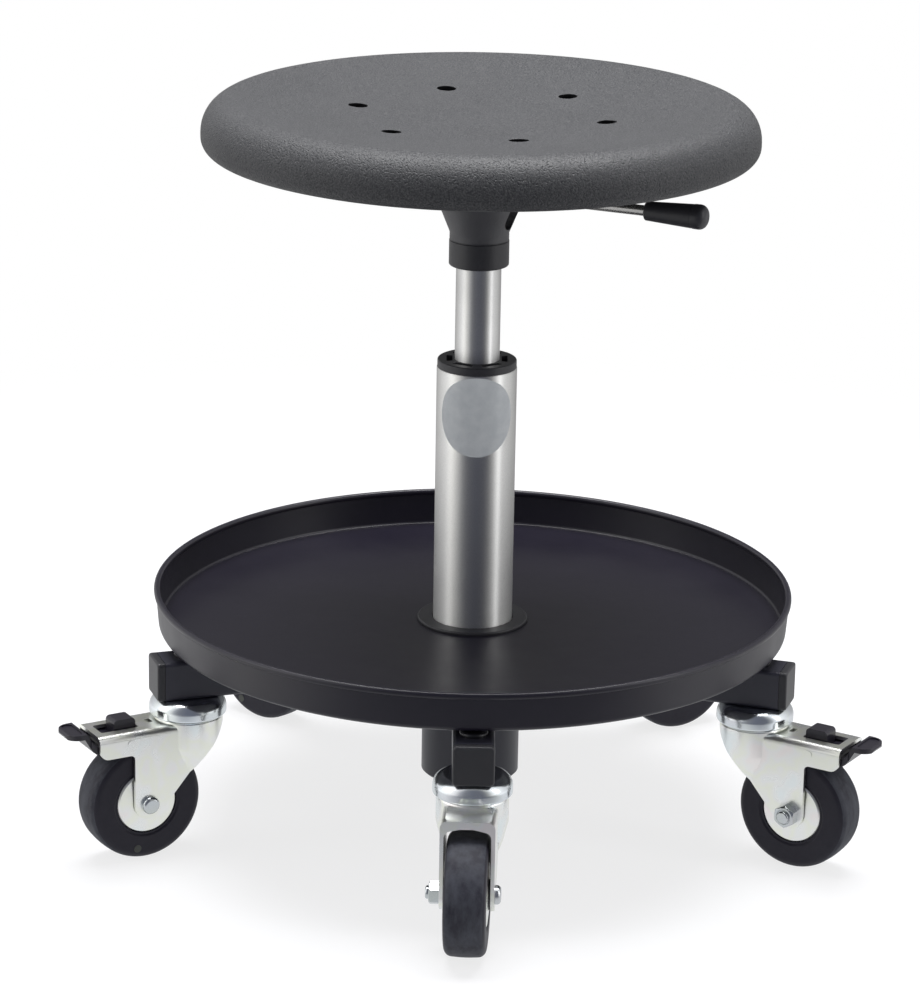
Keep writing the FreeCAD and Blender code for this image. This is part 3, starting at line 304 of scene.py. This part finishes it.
def cut_out(shape, cutter):
    """The shape less the cutter, with both of them used up."""
    solids = []
    for name, part in (("blank", shape), ("cutter", cutter)):
        mesh = bpy.data.meshes.new(name)
        part.to_mesh(mesh)
        part.free()
        solids.append(bpy.data.objects.new(name, mesh))
        collection.objects.link(solids[-1])
    blank, tool = solids
    cut = blank.modifiers.new("cut", "BOOLEAN")
    cut.operation, cut.solver, cut.object = "DIFFERENCE", "EXACT", tool
    bpy.context.view_layer.update()
    finished = bpy.data.meshes.new_from_object(
        blank.evaluated_get(bpy.context.evaluated_depsgraph_get()))
    left = bmesh.new()
    left.from_mesh(finished)
    for solid in solids:
        mesh = solid.data
        bpy.data.objects.remove(solid)
        bpy.data.meshes.remove(mesh)
    bpy.data.meshes.remove(finished)
    return left


seat_black, tree, shader = finish("seat_foam_skin", (0.055, 0.056, 0.06), 0.46,
                                  specular_ior_level=0.3)
point = object_point(tree)
# pebble grain: small cells with soft creases between them, a little uneven in size
grain_cells = 1050.0
grain_drift = 0.002
crease_depth = 0.00034
ripple_depth = 0.0001
skin_depth = 0.00012
drift = add(tree, "TexNoise", {"Vector": point, "Scale": 300.0, "Detail": 2.0})
shifted = add(tree, "MixRGB", {"Fac": grain_drift, "Color1": point,
                               "Color2": drift.outputs["Color"]}, blend_type="ADD").outputs[0]
cells = add(tree, "TexVoronoi", {"Vector": shifted, "Scale": grain_cells}, feature="SMOOTH_F1")
creases = ramp(tree, cells.outputs["Distance"], [(0.0, 1.0), (0.45, 0.85), (0.8, 0.0)], "EASE")
ripples = noise(tree, point, 700.0, 2.0)
fine = noise(tree, point, 2400.0, 3.0)
relief(tree, shader, [(ripples, ripple_depth), (creases, crease_depth), (fine, skin_depth)])
broad = noise(tree, point, 14.0, 2.0)
flecks = noise(tree, point, 1000.0, 2.0, 0.6)
tone = ramp(tree, spread(tree, flecks, 0.0, 1.0, 0.3, 0.7),
            [(0.0, (0.026, 0.027, 0.031)), (0.5, (0.056, 0.057, 0.061)),
             (1.0, (0.095, 0.095, 0.097))])
tree.links.new(tone, shader.inputs["Base Color"])
gloss = add(tree, "Math", {0: creases, 1: broad}, operation="MULTIPLY").outputs[0]
tree.links.new(spread(tree, gloss, 0.58, 0.44, 0.1, 0.6), shader.inputs["Roughness"])
# painted shade: the vents' bore walls get a near-black finish, far darker than the foam skin, that
# paints the shade inside the holes
vent_painted_shade, tree, shader = finish("vent_wall_painted_shade", (0.008, 0.008, 0.009), 0.9, specular_ior_level=0.1)
relief(tree, shader, [(noise(tree, object_point(tree), 900.0, 3.0), 0.0002)])

seat_low, seat_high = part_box("seat_pad")
board_low, board_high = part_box("seat_board")
seat_radius = seat_high.x
seat_foot = seat_low.z
seat_edge_thick = 0.0338
seat_centre_thick = 0.0213
seat_edge = seat_foot + seat_edge_thick
seat_centre = seat_foot + seat_centre_thick
seat_low_round = 0.008
seat_top_round = 0.02
seat_dish_reach = 0.0867
seat_dish_round = 0.6
board_gap = 0.0003
vent_count = 6
vent_radius = 0.006
vent_circle = 0.078
vent_turn = math.radians(-14)
vent_lip = 0.00025
bore_slope = 0.1
lip_slope = 0.3
seat_steps = 320
seat = turned([
    (0, board_high.z + board_gap),
    (board_high.x + board_gap, board_high.z + board_gap),
    (board_high.x + board_gap, seat_foot),
    (seat_radius, seat_foot, seat_low_round),
    (seat_radius, seat_edge, seat_top_round),
    (seat_dish_reach, seat_centre, seat_dish_round),
    (0, seat_centre),
], seat_steps, arc_steps=14)
vents = bmesh.new()
vent_centres = []
for vent in range(vent_count):
    angle = vent_turn + vent * math.tau / vent_count
    centre = Vector((vent_circle * math.cos(angle), vent_circle * math.sin(angle), seat_edge))
    vent_centres.append(centre.xy)
    bmesh.ops.create_cone(vents, cap_ends=True, segments=48, radius1=vent_radius,
                          radius2=vent_radius, depth=2 * (seat_edge - board_low.z),
                          matrix=Matrix.Translation(centre))
seat = cut_out(seat, vents)
bore_faces = [face for face in seat.faces if abs(face.normal.z) < bore_slope
              and any((face.calc_center_median().xy - centre).length < vent_radius
                      for centre in vent_centres)]
mouths = [edge for edge in {edge for face in bore_faces for edge in face.edges}
          if len({face.normal.z > 0.5 for face in edge.link_faces}) == 2]
bmesh.ops.bevel(seat, geom=mouths, affect="EDGES", offset=vent_lip, segments=3,
                profile=0.5, material=-1)
# the bore walls' faces take the painted-shade finish and the rest keeps the foam skin
for face in seat.faces:
    middle = face.calc_center_median()
    inside = min((middle.xy - centre).length for centre in vent_centres) < vent_radius
    painted_shade_face = inside and abs(face.normal.z) < lip_slope and middle.z > seat_foot
    face.material_index = 1 if painted_shade_face else 0
bmesh.ops.recalc_face_normals(seat, faces=seat.faces[:])
seat_foam = piece("seat_foam", seat, seat_black, crease=50)
seat_foam.data.materials.append(vent_painted_shade)
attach(seat_foam, "seat")
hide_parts("seat_pad")


# Seat board and screws. A birch plywood disc, painted black, with the socket screwed to it
# by four pan heads.
def dress(node, look):
    """Give a CAD node the finish."""
    nodes[node].data.materials.clear()
    nodes[node].data.materials.append(look)


board_paint, tree, shader = finish("board_paint", (0.02, 0.02, 0.021), 0.6)
wood_grain = (1, 12, 1)
relief(tree, shader, [(noise(tree, object_point(tree, wood_grain), 90.0, 6.0), 0.0003)])
screw_black, tree, shader = finish("screw_black", (0.03, 0.03, 0.032), 0.38, 0.6)
relief(tree, shader, [(noise(tree, object_point(tree), 900.0), 0.00002)])
dress("seat_board", board_paint)


def merged(node):
    """A copy of a CAD node with its loose triangles joined into whole faces."""
    shape = bmesh.new()
    shape.from_mesh(nodes[node].data)
    bmesh.ops.remove_doubles(shape, verts=shape.verts[:], dist=2e-6)
    bmesh.ops.dissolve_limit(shape, angle_limit=math.radians(0.6), verts=shape.verts[:],
                             edges=shape.edges[:], delimit={"NORMAL"})
    return shape


seat_screws = piece("seat_screw_heads", merged("seat_screws"), screw_black)
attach(seat_screws, "seat")
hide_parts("seat_screws")


# Seat socket and sleeve. The socket is an aluminium casting in black paint, a cone under a
# flange; the sleeve under it is a plastic skirt pushed on the cylinder.
cast_black, tree, shader = finish("cast_paint", (0.063, 0.063, 0.07), 0.42)
point = object_point(tree)
sand_marks = noise(tree, point, 700.0, 3.0)
flow_marks = noise(tree, point, 60.0)
relief(tree, shader, [(sand_marks, 0.00012), (flow_marks, 0.0003)])
plastic_black, tree, shader = finish("black_plastic", (0.034, 0.034, 0.039), 0.4,
                                     specular_ior_level=0.4)
relief(tree, shader, [(noise(tree, object_point(tree), 1600.0, 2.0), 0.00004)])
socket = piece("seat_socket_cone", merged("seat_socket"), cast_black, crease=38)
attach(socket, "seat")
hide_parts("seat_socket")

sleeve_low, sleeve_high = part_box("socket_sleeve")
cylinder_low, cylinder_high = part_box("gas_cylinder")
slip_fit = 0.00002
sleeve_radius = sleeve_high.x
sleeve_bore = cylinder_high.x + slip_fit
sleeve_round = 0.0012
sleeve_bead = 0.0004
sleeve = turned([
    (sleeve_bore, sleeve_low.z),
    (sleeve_radius, sleeve_low.z, sleeve_round),
    (sleeve_radius, sleeve_high.z - 3 * sleeve_bead, sleeve_bead),
    (sleeve_radius - sleeve_bead, sleeve_high.z - 2 * sleeve_bead, sleeve_bead / 2),
    (sleeve_radius - sleeve_bead, sleeve_high.z),
    (sleeve_bore, sleeve_high.z),
], 128, closed=True)
sleeve_piece = piece("sleeve", sleeve, plastic_black)
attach(sleeve_piece, "seat")
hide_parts("socket_sleeve")


# Height lever. A straight steel rod on a cross pin in the socket, with a moulded grip pushed on
# it that grows towards its rounded end and has a fine step there.
def ground(name, colour, roughness, scale):
    """Bare ground steel with fine marks and specks."""
    depth = 0.00001
    made, tree, shader = finish(name, colour, roughness, 1.0)
    marks = noise(tree, object_point(tree), scale, 3.0, 0.7)
    specks = noise(tree, object_point(tree), 1500.0, 2.0)
    relief(tree, shader, [(marks, depth), (specks, depth / 3)])
    tree.links.new(spread(tree, marks, roughness - 0.06, roughness + 0.08, 0.3, 0.7),
                   shader.inputs["Roughness"])
    return made


rod_steel = ground("rod_steel", (0.6, 0.59, 0.57), 0.25, 500.0)
lever = piece("lever_rod", merged("height_lever"), rod_steel)
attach(lever, "lever")
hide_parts("height_lever")
dress("lever_pin", rod_steel)

lever_turn = math.radians(-24)
lever_height = joint_at["lever_lift"].z
grip_start = 0.109
grip_length = 0.0395
grip_small = 0.0058
grip_big = 0.00775
grip_bore = 0.00327
grip_bore_end = 0.0301
grip_start_round = 0.001
grip_end_round = 0.005
grip_ring = 0.00018
grip_end = grip_start + grip_length
grip = turned([
    (grip_bore, grip_start),
    (grip_small, grip_start, grip_start_round),
    (grip_big - 2 * grip_ring, grip_start + 0.76 * grip_length),
    (grip_big - 3 * grip_ring, grip_start + 0.775 * grip_length),
    (grip_big - grip_ring, grip_start + 0.79 * grip_length),
    (grip_big, grip_end, grip_end_round),
    (0, grip_end),
    (0, grip_start + grip_bore_end),
    (grip_bore, grip_start + grip_bore_end),
], 64, closed=True, arc_steps=10)
along_lever = (Matrix.Translation((0, 0, lever_height)) @ Matrix.Rotation(lever_turn, 4, "Z")
               @ Matrix.Rotation(math.pi / 2, 4, "Y"))
grip.transform(along_lever)
grip_piece = piece("grip", grip, plastic_black)
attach(grip_piece, "lever")
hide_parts("lever_grip")


# Column. The gas spring's bright steel cylinder slides in a plastic bush, which is pushed into
# a plated steel tube; a round plain sticker on the tube faces the front.
def plated(name, colour, roughness):
    """Plated tube drawn along its length: reflections run up and down it, finely speckled."""
    drawn = (1, 1, 0.04)
    made, tree, shader = finish(name, colour, roughness, 1.0, anisotropic=0.92,
                                anisotropic_rotation=0.25)
    point = object_point(tree)
    grain = noise(tree, point, 1400.0, 3.0, 0.7)
    streaks = noise(tree, object_point(tree, drawn), 900.0, 3.0, 0.6)
    clouds = noise(tree, point, 45.0, 3.0)
    relief(tree, shader, [(streaks, 0.000006), (grain, 0.00001)])
    worn = add(tree, "Math", {0: grain, 1: clouds}, operation="ADD").outputs[0]
    tree.links.new(spread(tree, worn, roughness - 0.05, roughness + 0.06, 0.7, 1.3),
                   shader.inputs["Roughness"])
    shade = tuple(0.9 * part for part in colour)
    tree.links.new(ramp(tree, grain, [(0.35, shade), (0.6, colour)]), shader.inputs["Base Color"])
    return made


cylinder_steel = plated("cylinder_steel", (0.74, 0.74, 0.735), 0.42)
tube_steel = plated("tube_steel", (0.8, 0.8, 0.79), 0.45)
cylinder_radius = cylinder_high.x
cylinder_bore = cylinder_radius - 0.0018
cylinder_foot_round = 0.0006
cylinder_taper = 0.0004
cylinder = turned([
    (cylinder_bore, cylinder_low.z),
    (cylinder_radius, cylinder_low.z, cylinder_foot_round),
    (cylinder_radius, sleeve_high.z),
    (cylinder_radius - cylinder_taper, cylinder_high.z),
    (cylinder_bore, cylinder_high.z),
], 128, closed=True)
cylinder_piece = piece("cylinder", cylinder, cylinder_steel)
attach(cylinder_piece, "seat")
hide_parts("gas_cylinder")
dress("cylinder_ends", screw_black)
dress("valve_button", plastic_black)

tube_low, tube_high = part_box("stand_tube")
tube_radius = tube_high.x
tube_bore = tube_radius - 0.002
tube_edge = 0.0007
tube = turned([
    (tube_bore, tube_low.z),
    (tube_radius, tube_low.z),
    (tube_radius, tube_high.z, tube_edge),
    (tube_bore, tube_high.z),
], 160, closed=True)
tube_piece = piece("column_tube", tube, tube_steel)
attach(tube_piece, "base")
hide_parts("stand_tube")


def softened(made, width, angle=35, segments=3):
    """Round the sharp edges of a piece a little, as tumbling and plating leave them."""
    round_off = made.modifiers.new("edges", "BEVEL")
    round_off.width = width
    round_off.segments = segments
    round_off.limit_method = "ANGLE"
    round_off.angle_limit = math.radians(angle)
    round_off.harden_normals = True
    made.modifiers.move(len(made.modifiers) - 1, 0)


bush_edge = 0.0009
bush = piece("bush", merged("guide_bush"), plastic_black)
softened(bush, bush_edge)
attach(bush, "base")
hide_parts("guide_bush")

sticker_film, tree, shader = finish("sticker_film", (0.74, 0.775, 0.79), 0.4,
                                    coat_weight=0.3, coat_roughness=0.3)
point = object_point(tree)
relief(tree, shader, [(noise(tree, point, 260.0), 0.00004)])
handled = noise(tree, point, 120.0, 3.0)
tone = ramp(tree, handled, [(0.35, (0.69, 0.725, 0.745)), (0.65, (0.78, 0.81, 0.825))])
tree.links.new(tone, shader.inputs["Base Color"])
sticker_radius = 0.0255
sticker_height = 0.2715
sticker_thick = 0.00012
sticker_rings = 14
sticker = turned([(sticker_radius * ring / sticker_rings, sticker_thick)
                  for ring in range(sticker_rings)]
                 + [(sticker_radius - sticker_thick, sticker_thick), (sticker_radius, 0)], 96)
for vert in sticker.verts:
    wrap = vert.co.x / tube_radius
    out = tube_radius + slip_fit + vert.co.z
    vert.co = Vector((out * math.sin(wrap), -out * math.cos(wrap), sticker_height + vert.co.y))
sticker_piece = piece("sticker", sticker, sticker_film)
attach(sticker_piece, "base")


# Tray. One pressed steel pan with a rolled rim, in black powder coat, with a black ring that
# trims its hole round the column.
def powder(name, colour, roughness, peel, depth):
    """Baked paint: an orange-peel skin, a few dust specks and slightly uneven gloss."""
    made, tree, shader = finish(name, colour, roughness, specular_ior_level=0.45)
    point = object_point(tree)
    skin = noise(tree, point, peel, 2.0, 0.4)
    dust = add(tree, "TexVoronoi", {"Vector": point, "Scale": 130.0}).outputs["Distance"]
    specks = ramp(tree, dust, [(0.0, 1.0), (0.05, 1.0), (0.07, 0.0)])
    relief(tree, shader, [(skin, depth), (specks, 0.00005)])
    cloud = noise(tree, point, 25.0, 3.0)
    tree.links.new(spread(tree, cloud, roughness - 0.03, roughness + 0.05, 0.3, 0.7),
                   shader.inputs["Roughness"])
    return made


tray_coat = powder("tray_coat", (0.0125, 0.0108, 0.0205), 0.33, 420.0, 0.00002)
frame_coat = powder("frame_coat", (0.035, 0.035, 0.05), 0.36, 700.0, 0.00003)
tray_low, tray_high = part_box("tray")
collar_low, collar_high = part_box("tray_collar")
tray_sheet = 0.0015
tray_bead = 0.004
tray_draft = 0.003
tray_fold = 0.002
tray_rim = tray_high.x + 0.0012
tray_hole = 0.02742
collar_bore = tube_radius + 0.0004
collar_spigot = 0.0274
collar_recess = 0.0004
collar_low_round = 0.0004
collar_top_round = 0.0012
collar_bore_round = 0.0008
recess_radius = collar_high.x + 0.0003
tray_floor = tray_low.z + tray_sheet
recess_floor = tray_floor - collar_recess
bead_foot = tray_high.z - tray_bead
bead_mid = tray_rim - tray_bead / 2
tray_foot = tray_rim - tray_draft
bead_round = 0.47 * tray_bead
tray = turned([
    (tray_hole, tray_low.z),
    (tray_foot, tray_low.z, tray_fold + tray_sheet),
    (bead_mid + tray_sheet / 2, bead_foot),
    (tray_rim, bead_foot, bead_round),
    (tray_rim, tray_high.z, bead_round),
    (tray_rim - tray_bead, tray_high.z, bead_round),
    (tray_rim - tray_bead, bead_foot, bead_round),
    (bead_mid - tray_sheet / 2, bead_foot),
    (tray_foot - tray_sheet, tray_floor, tray_fold),
    (recess_radius, tray_floor),
    (recess_radius, recess_floor),
    (tray_hole, recess_floor),
], 256, closed=True, arc_steps=8)
tray_piece = piece("tray_pan", tray, tray_coat, crease=40)
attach(tray_piece, "base")
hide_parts("tray")

collar = turned([
    (collar_bore, collar_low.z),
    (collar_spigot, collar_low.z),
    (collar_spigot, recess_floor),
    (collar_high.x, recess_floor, collar_low_round),
    (collar_high.x, collar_high.z, collar_top_round),
    (collar_bore, collar_high.z, collar_bore_round),
], 160, closed=True)
collar_piece = piece("collar", collar, plastic_black)
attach(collar_piece, "base")
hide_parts("tray_collar")


# Star base. Five square tubes welded to a round hub, all powder coated, with moulded plugs in
# the arm tips.
arm_names = ["front", "right", "back_right", "back_left", "left"]
hub_low, hub_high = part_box("base_hub")
hub_bore = tube_radius + slip_fit
hub_radius = hub_high.x
hub_chamfer = 0.0015
arm_edge = 0.0004
plug_edge = 0.0005
hub = turned([
    (hub_bore, hub_low.z),
    (hub_radius - hub_chamfer, hub_low.z),
    (hub_radius, hub_low.z + hub_chamfer),
    (hub_radius, hub_high.z),
    (hub_bore, hub_high.z),
], 128, closed=True)
hub_piece = piece("hub", hub, frame_coat)
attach(hub_piece, "base")
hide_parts("base_hub")
for arm in arm_names:
    arm_piece = piece("tube_arm_" + arm, merged("arm_" + arm), frame_coat)
    softened(arm_piece, arm_edge)
    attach(arm_piece, "base")
    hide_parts("arm_" + arm)
caps = piece("end_plugs", merged("arm_end_caps"), plastic_black)
softened(caps, plug_edge)
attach(caps, "base")
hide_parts("arm_end_caps")


# Castor heads. A pressed zinc cup turned over the ball race under each arm, and the king bolt
# whose round black head stands on the arm.
def zinc(name, colour, roughness, tinted):
    """Zinc plate with a faint blue, yellow and pink passivation film and handling marks."""
    mark_depth = 0.0000012
    made, tree, shader = finish(name, colour, roughness, 1.0)
    point = object_point(tree)
    film = noise(tree, point, 42.0, 2.0)
    tints = [(0.95, 1.0, 1.03), (1.0, 1.01, 0.93), (1.02, 0.97, 0.97)]
    blue, yellow, pink = [
        tuple(min(1.0, part * (1 + tinted * (by - 1))) for part, by in zip(colour, tint))
        for tint in tints]
    tree.links.new(ramp(tree, film, [(0.32, blue), (0.44, colour), (0.52, yellow),
                                     (0.6, colour), (0.68, pink)]),
                   shader.inputs["Base Color"])
    marks = noise(tree, point, 300.0, 4.0, 0.6)
    relief(tree, shader, [(marks, mark_depth)])
    tree.links.new(spread(tree, film, roughness - 0.03, roughness + 0.05, 0.3, 0.7),
                   shader.inputs["Roughness"])
    return made


zinc_plate = zinc("zinc_plate", (0.92, 0.925, 0.91), 0.28, 1.0)
zinc_bright = zinc("zinc_bright", (0.76, 0.8, 0.84), 0.17, 0.5)
zinc_nut = zinc("zinc_nut", (0.6, 0.63, 0.65), 0.2, 0.6)
bolt_black, tree, shader = finish("bolt_black", (0.02, 0.02, 0.024), 0.25, 0.4)
relief(tree, shader, [(noise(tree, object_point(tree), 700.0), 0.00002)])


def taken(shape, part):
    """Add a finished part to a shape that holds several."""
    carrier = bpy.data.meshes.new("carrier")
    part.to_mesh(carrier)
    part.free()
    shape.from_mesh(carrier)
    bpy.data.meshes.remove(carrier)


cups_low, cups_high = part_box("castor_cups")
cup_foot = cups_low.z
cup_top = cups_high.z
cup_radius = 0.024
cup_sheet = 0.0025
cup_inner = cup_radius - cup_sheet
cup_round = 0.007
cup_lip = 0.0012
cup_bore = 0.00505
cups = bmesh.new()
for arm in arm_names:
    cup = turned([
        (cup_bore, cup_top - cup_sheet),
        (cup_inner, cup_top - cup_sheet, cup_round - cup_sheet),
        (cup_inner, cup_foot),
        (cup_radius, cup_foot, cup_lip),
        (cup_radius, cup_top, cup_round),
        (cup_bore, cup_top),
    ], 96, closed=True, arc_steps=10)
    swivel = joint_at["swivel_" + arm]
    cup.transform(Matrix.Translation((swivel.x, swivel.y, 0)))
    taken(cups, cup)
cups_piece = piece("swivel_cups", cups, zinc_bright)
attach(cups_piece, "base")
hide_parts("castor_cups")
bolts = piece("king_bolts", merged("castor_bolts"), bolt_black)
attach(bolts, "base")
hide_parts("castor_bolts")


# Castors. A pressed zinc fork, an axle bolt with its nut, a solid rubber tyre on a core under
# two zinc discs, and on two of them a rocker brake in black plastic.
def rubber(name, dark, light, roughness, streaks):
    """Moulded rubber, a little dusty, with fine pits; streaks run where the surface rolls."""
    made, tree, shader = finish(name, dark, roughness, specular_ior_level=0.35)
    point = object_point(tree)
    pits = noise(tree, point, 420.0, 5.0, 0.7)
    relief(tree, shader, [(pits, 0.0001)])
    dust = noise(tree, object_point(tree, streaks), 150.0, 5.0, 0.65)
    middling = tuple((a + b) / 2 for a, b in zip(dark, light))
    tone = ramp(tree, dust, [(0.36, dark), (0.5, middling), (0.7, light)])
    tree.links.new(tone, shader.inputs["Base Color"])
    return made


tyre_side = rubber("tyre_side", (0.013, 0.0115, 0.022), (0.018, 0.016, 0.027), 0.5, (1, 1, 1))
tyre_tread = rubber("tyre_tread", (0.024, 0.024, 0.036), (0.068, 0.072, 0.09), 0.6, (1, 1, 0.4))
wear_dot, tree, shader = finish("wear_dot", (0.085, 0.09, 0.08), 0.6)
relief(tree, shader, [(noise(tree, object_point(tree), 900.0), 0.00003)])
pedal_black, tree, shader = finish("pedal_plastic", (0.019, 0.017, 0.026), 0.28)
relief(tree, shader, [(noise(tree, object_point(tree), 1400.0, 2.0), 0.00003)])
core_radius = 0.02
groove_width = 0.0012
groove_depth = 0.0008
groove_foot = core_radius + groove_width
groove_top = core_radius + 2 * groove_width
tyre_bore = core_radius + 0.0001
tyre_radius = 0.0375
tyre_half = 0.0125
tyre_inset = tyre_half - groove_depth
tyre_edge = tyre_radius - 0.0008
wall_round = 0.0008
shoulder_round = 0.0048
tread_round = 0.06
tread_band = 0.0018
fork_outer = 0.0163
axle_radius = 0.004
head_radius = 0.00575
head_top = fork_outer + 0.0036
head_foot_round = 0.0003
head_dome = 0.0024
thread_lead = 0.0007
thread_mouth = axle_radius + thread_lead
nut_flats = 0.013
nut_corner = nut_flats / math.sqrt(3)
nut_thick = 0.0065
nut_chamfer = 0.0008
nut_face = -fork_outer - nut_thick
chamfer_reach = 0.6 * (nut_flats / 2 + nut_chamfer)
bolt_end = nut_face - 0.002
spacer_half = 0.01395
spacer_bore = axle_radius + 0.00005
spacer_radius = axle_radius + 0.002
dot_radius = 0.0025
dot_thick = 0.0002
dot_circle = 0.0305
dot_angles = {"left": 77, "back_left": 60}
fork_edge = 0.00035
axle_edge = 0.00025
axle_crease = 24
disc_edge = 0.0003
pedal_edge = 0.0009
for arm in arm_names:
    fork = piece("castor_fork_" + arm, merged("fork_" + arm), zinc_plate, crease=40)
    softened(fork, fork_edge)
    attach(fork, "castor_" + arm)
    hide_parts("fork_" + arm)
    swivel = joint_at["swivel_" + arm]
    hub_point = joint_at["spin_" + arm]
    trail = math.atan2(hub_point.y - swivel.y, hub_point.x - swivel.x)
    on_axle = (Matrix.Translation(hub_point) @ Matrix.Rotation(trail, 4, "Z")
               @ Matrix.Rotation(-math.pi / 2, 4, "X"))

    # axle bolt with a domed head, its nut chamfered on the outer face, and the spacer
    shank = turned([
        (0, bolt_end),
        (axle_radius - thread_lead, bolt_end),
        (axle_radius, bolt_end + thread_lead),
        (axle_radius, fork_outer),
        (head_radius, fork_outer, head_foot_round),
        (head_radius, head_top, head_dome),
        (0, head_top),
    ], 48, arc_steps=8)
    nut = bmesh.new()
    bmesh.ops.create_cone(nut, cap_ends=True, segments=6, radius1=nut_corner,
                          radius2=nut_corner, depth=nut_thick,
                          matrix=Matrix.Translation((0, 0, -fork_outer - nut_thick / 2)))
    nut = cut_out(nut, turned([
        (nut_flats / 2 - nut_chamfer, nut_face - nut_chamfer),
        (nut_flats, nut_face - nut_chamfer),
        (nut_flats, nut_face + chamfer_reach),
        (nut_flats / 2 - nut_chamfer, nut_face),
    ], 72, closed=True))
    nut = cut_out(nut, turned([
        (0, nut_face - nut_chamfer),
        (thread_mouth, nut_face - nut_chamfer),
        (thread_mouth, nut_face + thread_lead),
        (0, nut_face + thread_lead),
    ], 48))
    spacer = turned([
        (spacer_bore, -spacer_half),
        (spacer_bore, spacer_half),
        (spacer_radius, spacer_half),
        (spacer_radius, -spacer_half),
    ], 48, closed=True)
    taken(shank, nut)
    taken(shank, spacer)
    shank.transform(on_axle)
    axle = piece("axle_bolt_" + arm, shank, zinc_nut, crease=axle_crease)
    softened(axle, axle_edge, axle_crease)
    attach(axle, "castor_" + arm)
    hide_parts("axle_" + arm)

    # tyre with a groove round the disc, and its worn tread in a second finish
    tyre = turned([
        (tyre_bore, -tyre_inset),
        (groove_foot, -tyre_inset),
        (groove_top, -tyre_half, wall_round),
        (tyre_edge, -tyre_half, shoulder_round),
        (tyre_radius, 0, tread_round),
        (tyre_edge, tyre_half, shoulder_round),
        (groove_top, tyre_half, wall_round),
        (groove_foot, tyre_inset),
        (tyre_bore, tyre_inset),
    ], 144, closed=True, arc_steps=10)
    for face in tyre.faces:
        middle = face.calc_center_median()
        face.material_index = 1 if middle.xy.length > tyre_radius - tread_band else 0
    tyre.transform(on_axle)
    tyre_piece = piece("rubber_tyre_" + arm, tyre, tyre_side)
    tyre_piece.data.materials.append(tyre_tread)
    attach(tyre_piece, "wheel_" + arm)
    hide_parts("tyre_" + arm)

    # pressed discs over the core, and on two tyres a small round wear dot
    discs = piece("wheel_discs_" + arm, merged("wheel_caps_" + arm), zinc_plate)
    softened(discs, disc_edge)
    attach(discs, "wheel_" + arm)
    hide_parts("wheel_caps_" + arm)
    dress("wheel_core_" + arm, plastic_black)
    if arm in dot_angles:
        dot = turned([(0, dot_thick), (dot_radius, dot_thick, dot_thick / 2), (dot_radius, 0)], 32)
        angle = math.radians(dot_angles[arm])
        dot.transform(on_axle @ Matrix.Translation((dot_circle * math.cos(angle),
                                                    dot_circle * math.sin(angle), tyre_half)))
        dot_piece = piece("wear_dot_" + arm, dot, wear_dot)
        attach(dot_piece, "wheel_" + arm)

# rocker pedal of the two brakes, and the cross pin it tips on
for arm in ("right", "left"):
    pedal = piece("rocker_" + arm, merged("brake_pedal_" + arm), pedal_black)
    softened(pedal, pedal_edge, angle=30, segments=4)
    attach(pedal, "brake_" + arm)
    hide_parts("brake_pedal_" + arm)
    pin = piece("rocker_pin_" + arm, merged("brake_pin_" + arm), zinc_plate)
    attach(pin, "castor_" + arm)
    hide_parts("brake_pin_" + arm)


# Hidden works. The castors' ball races, and in the column's foot the bearing, piston rod and
# clip that the gas spring turns on, all of ground steel over a zinc-plated foot plate.
bearing_steel = ground("bearing_steel", (0.5, 0.5, 0.5), 0.3, 400.0)
for node in ("castor_races", "foot_bearing", "upper_race", "piston_rod", "rod_clip"):
    dress(node, bearing_steel)
dress("tube_foot_plate", zinc_plate)
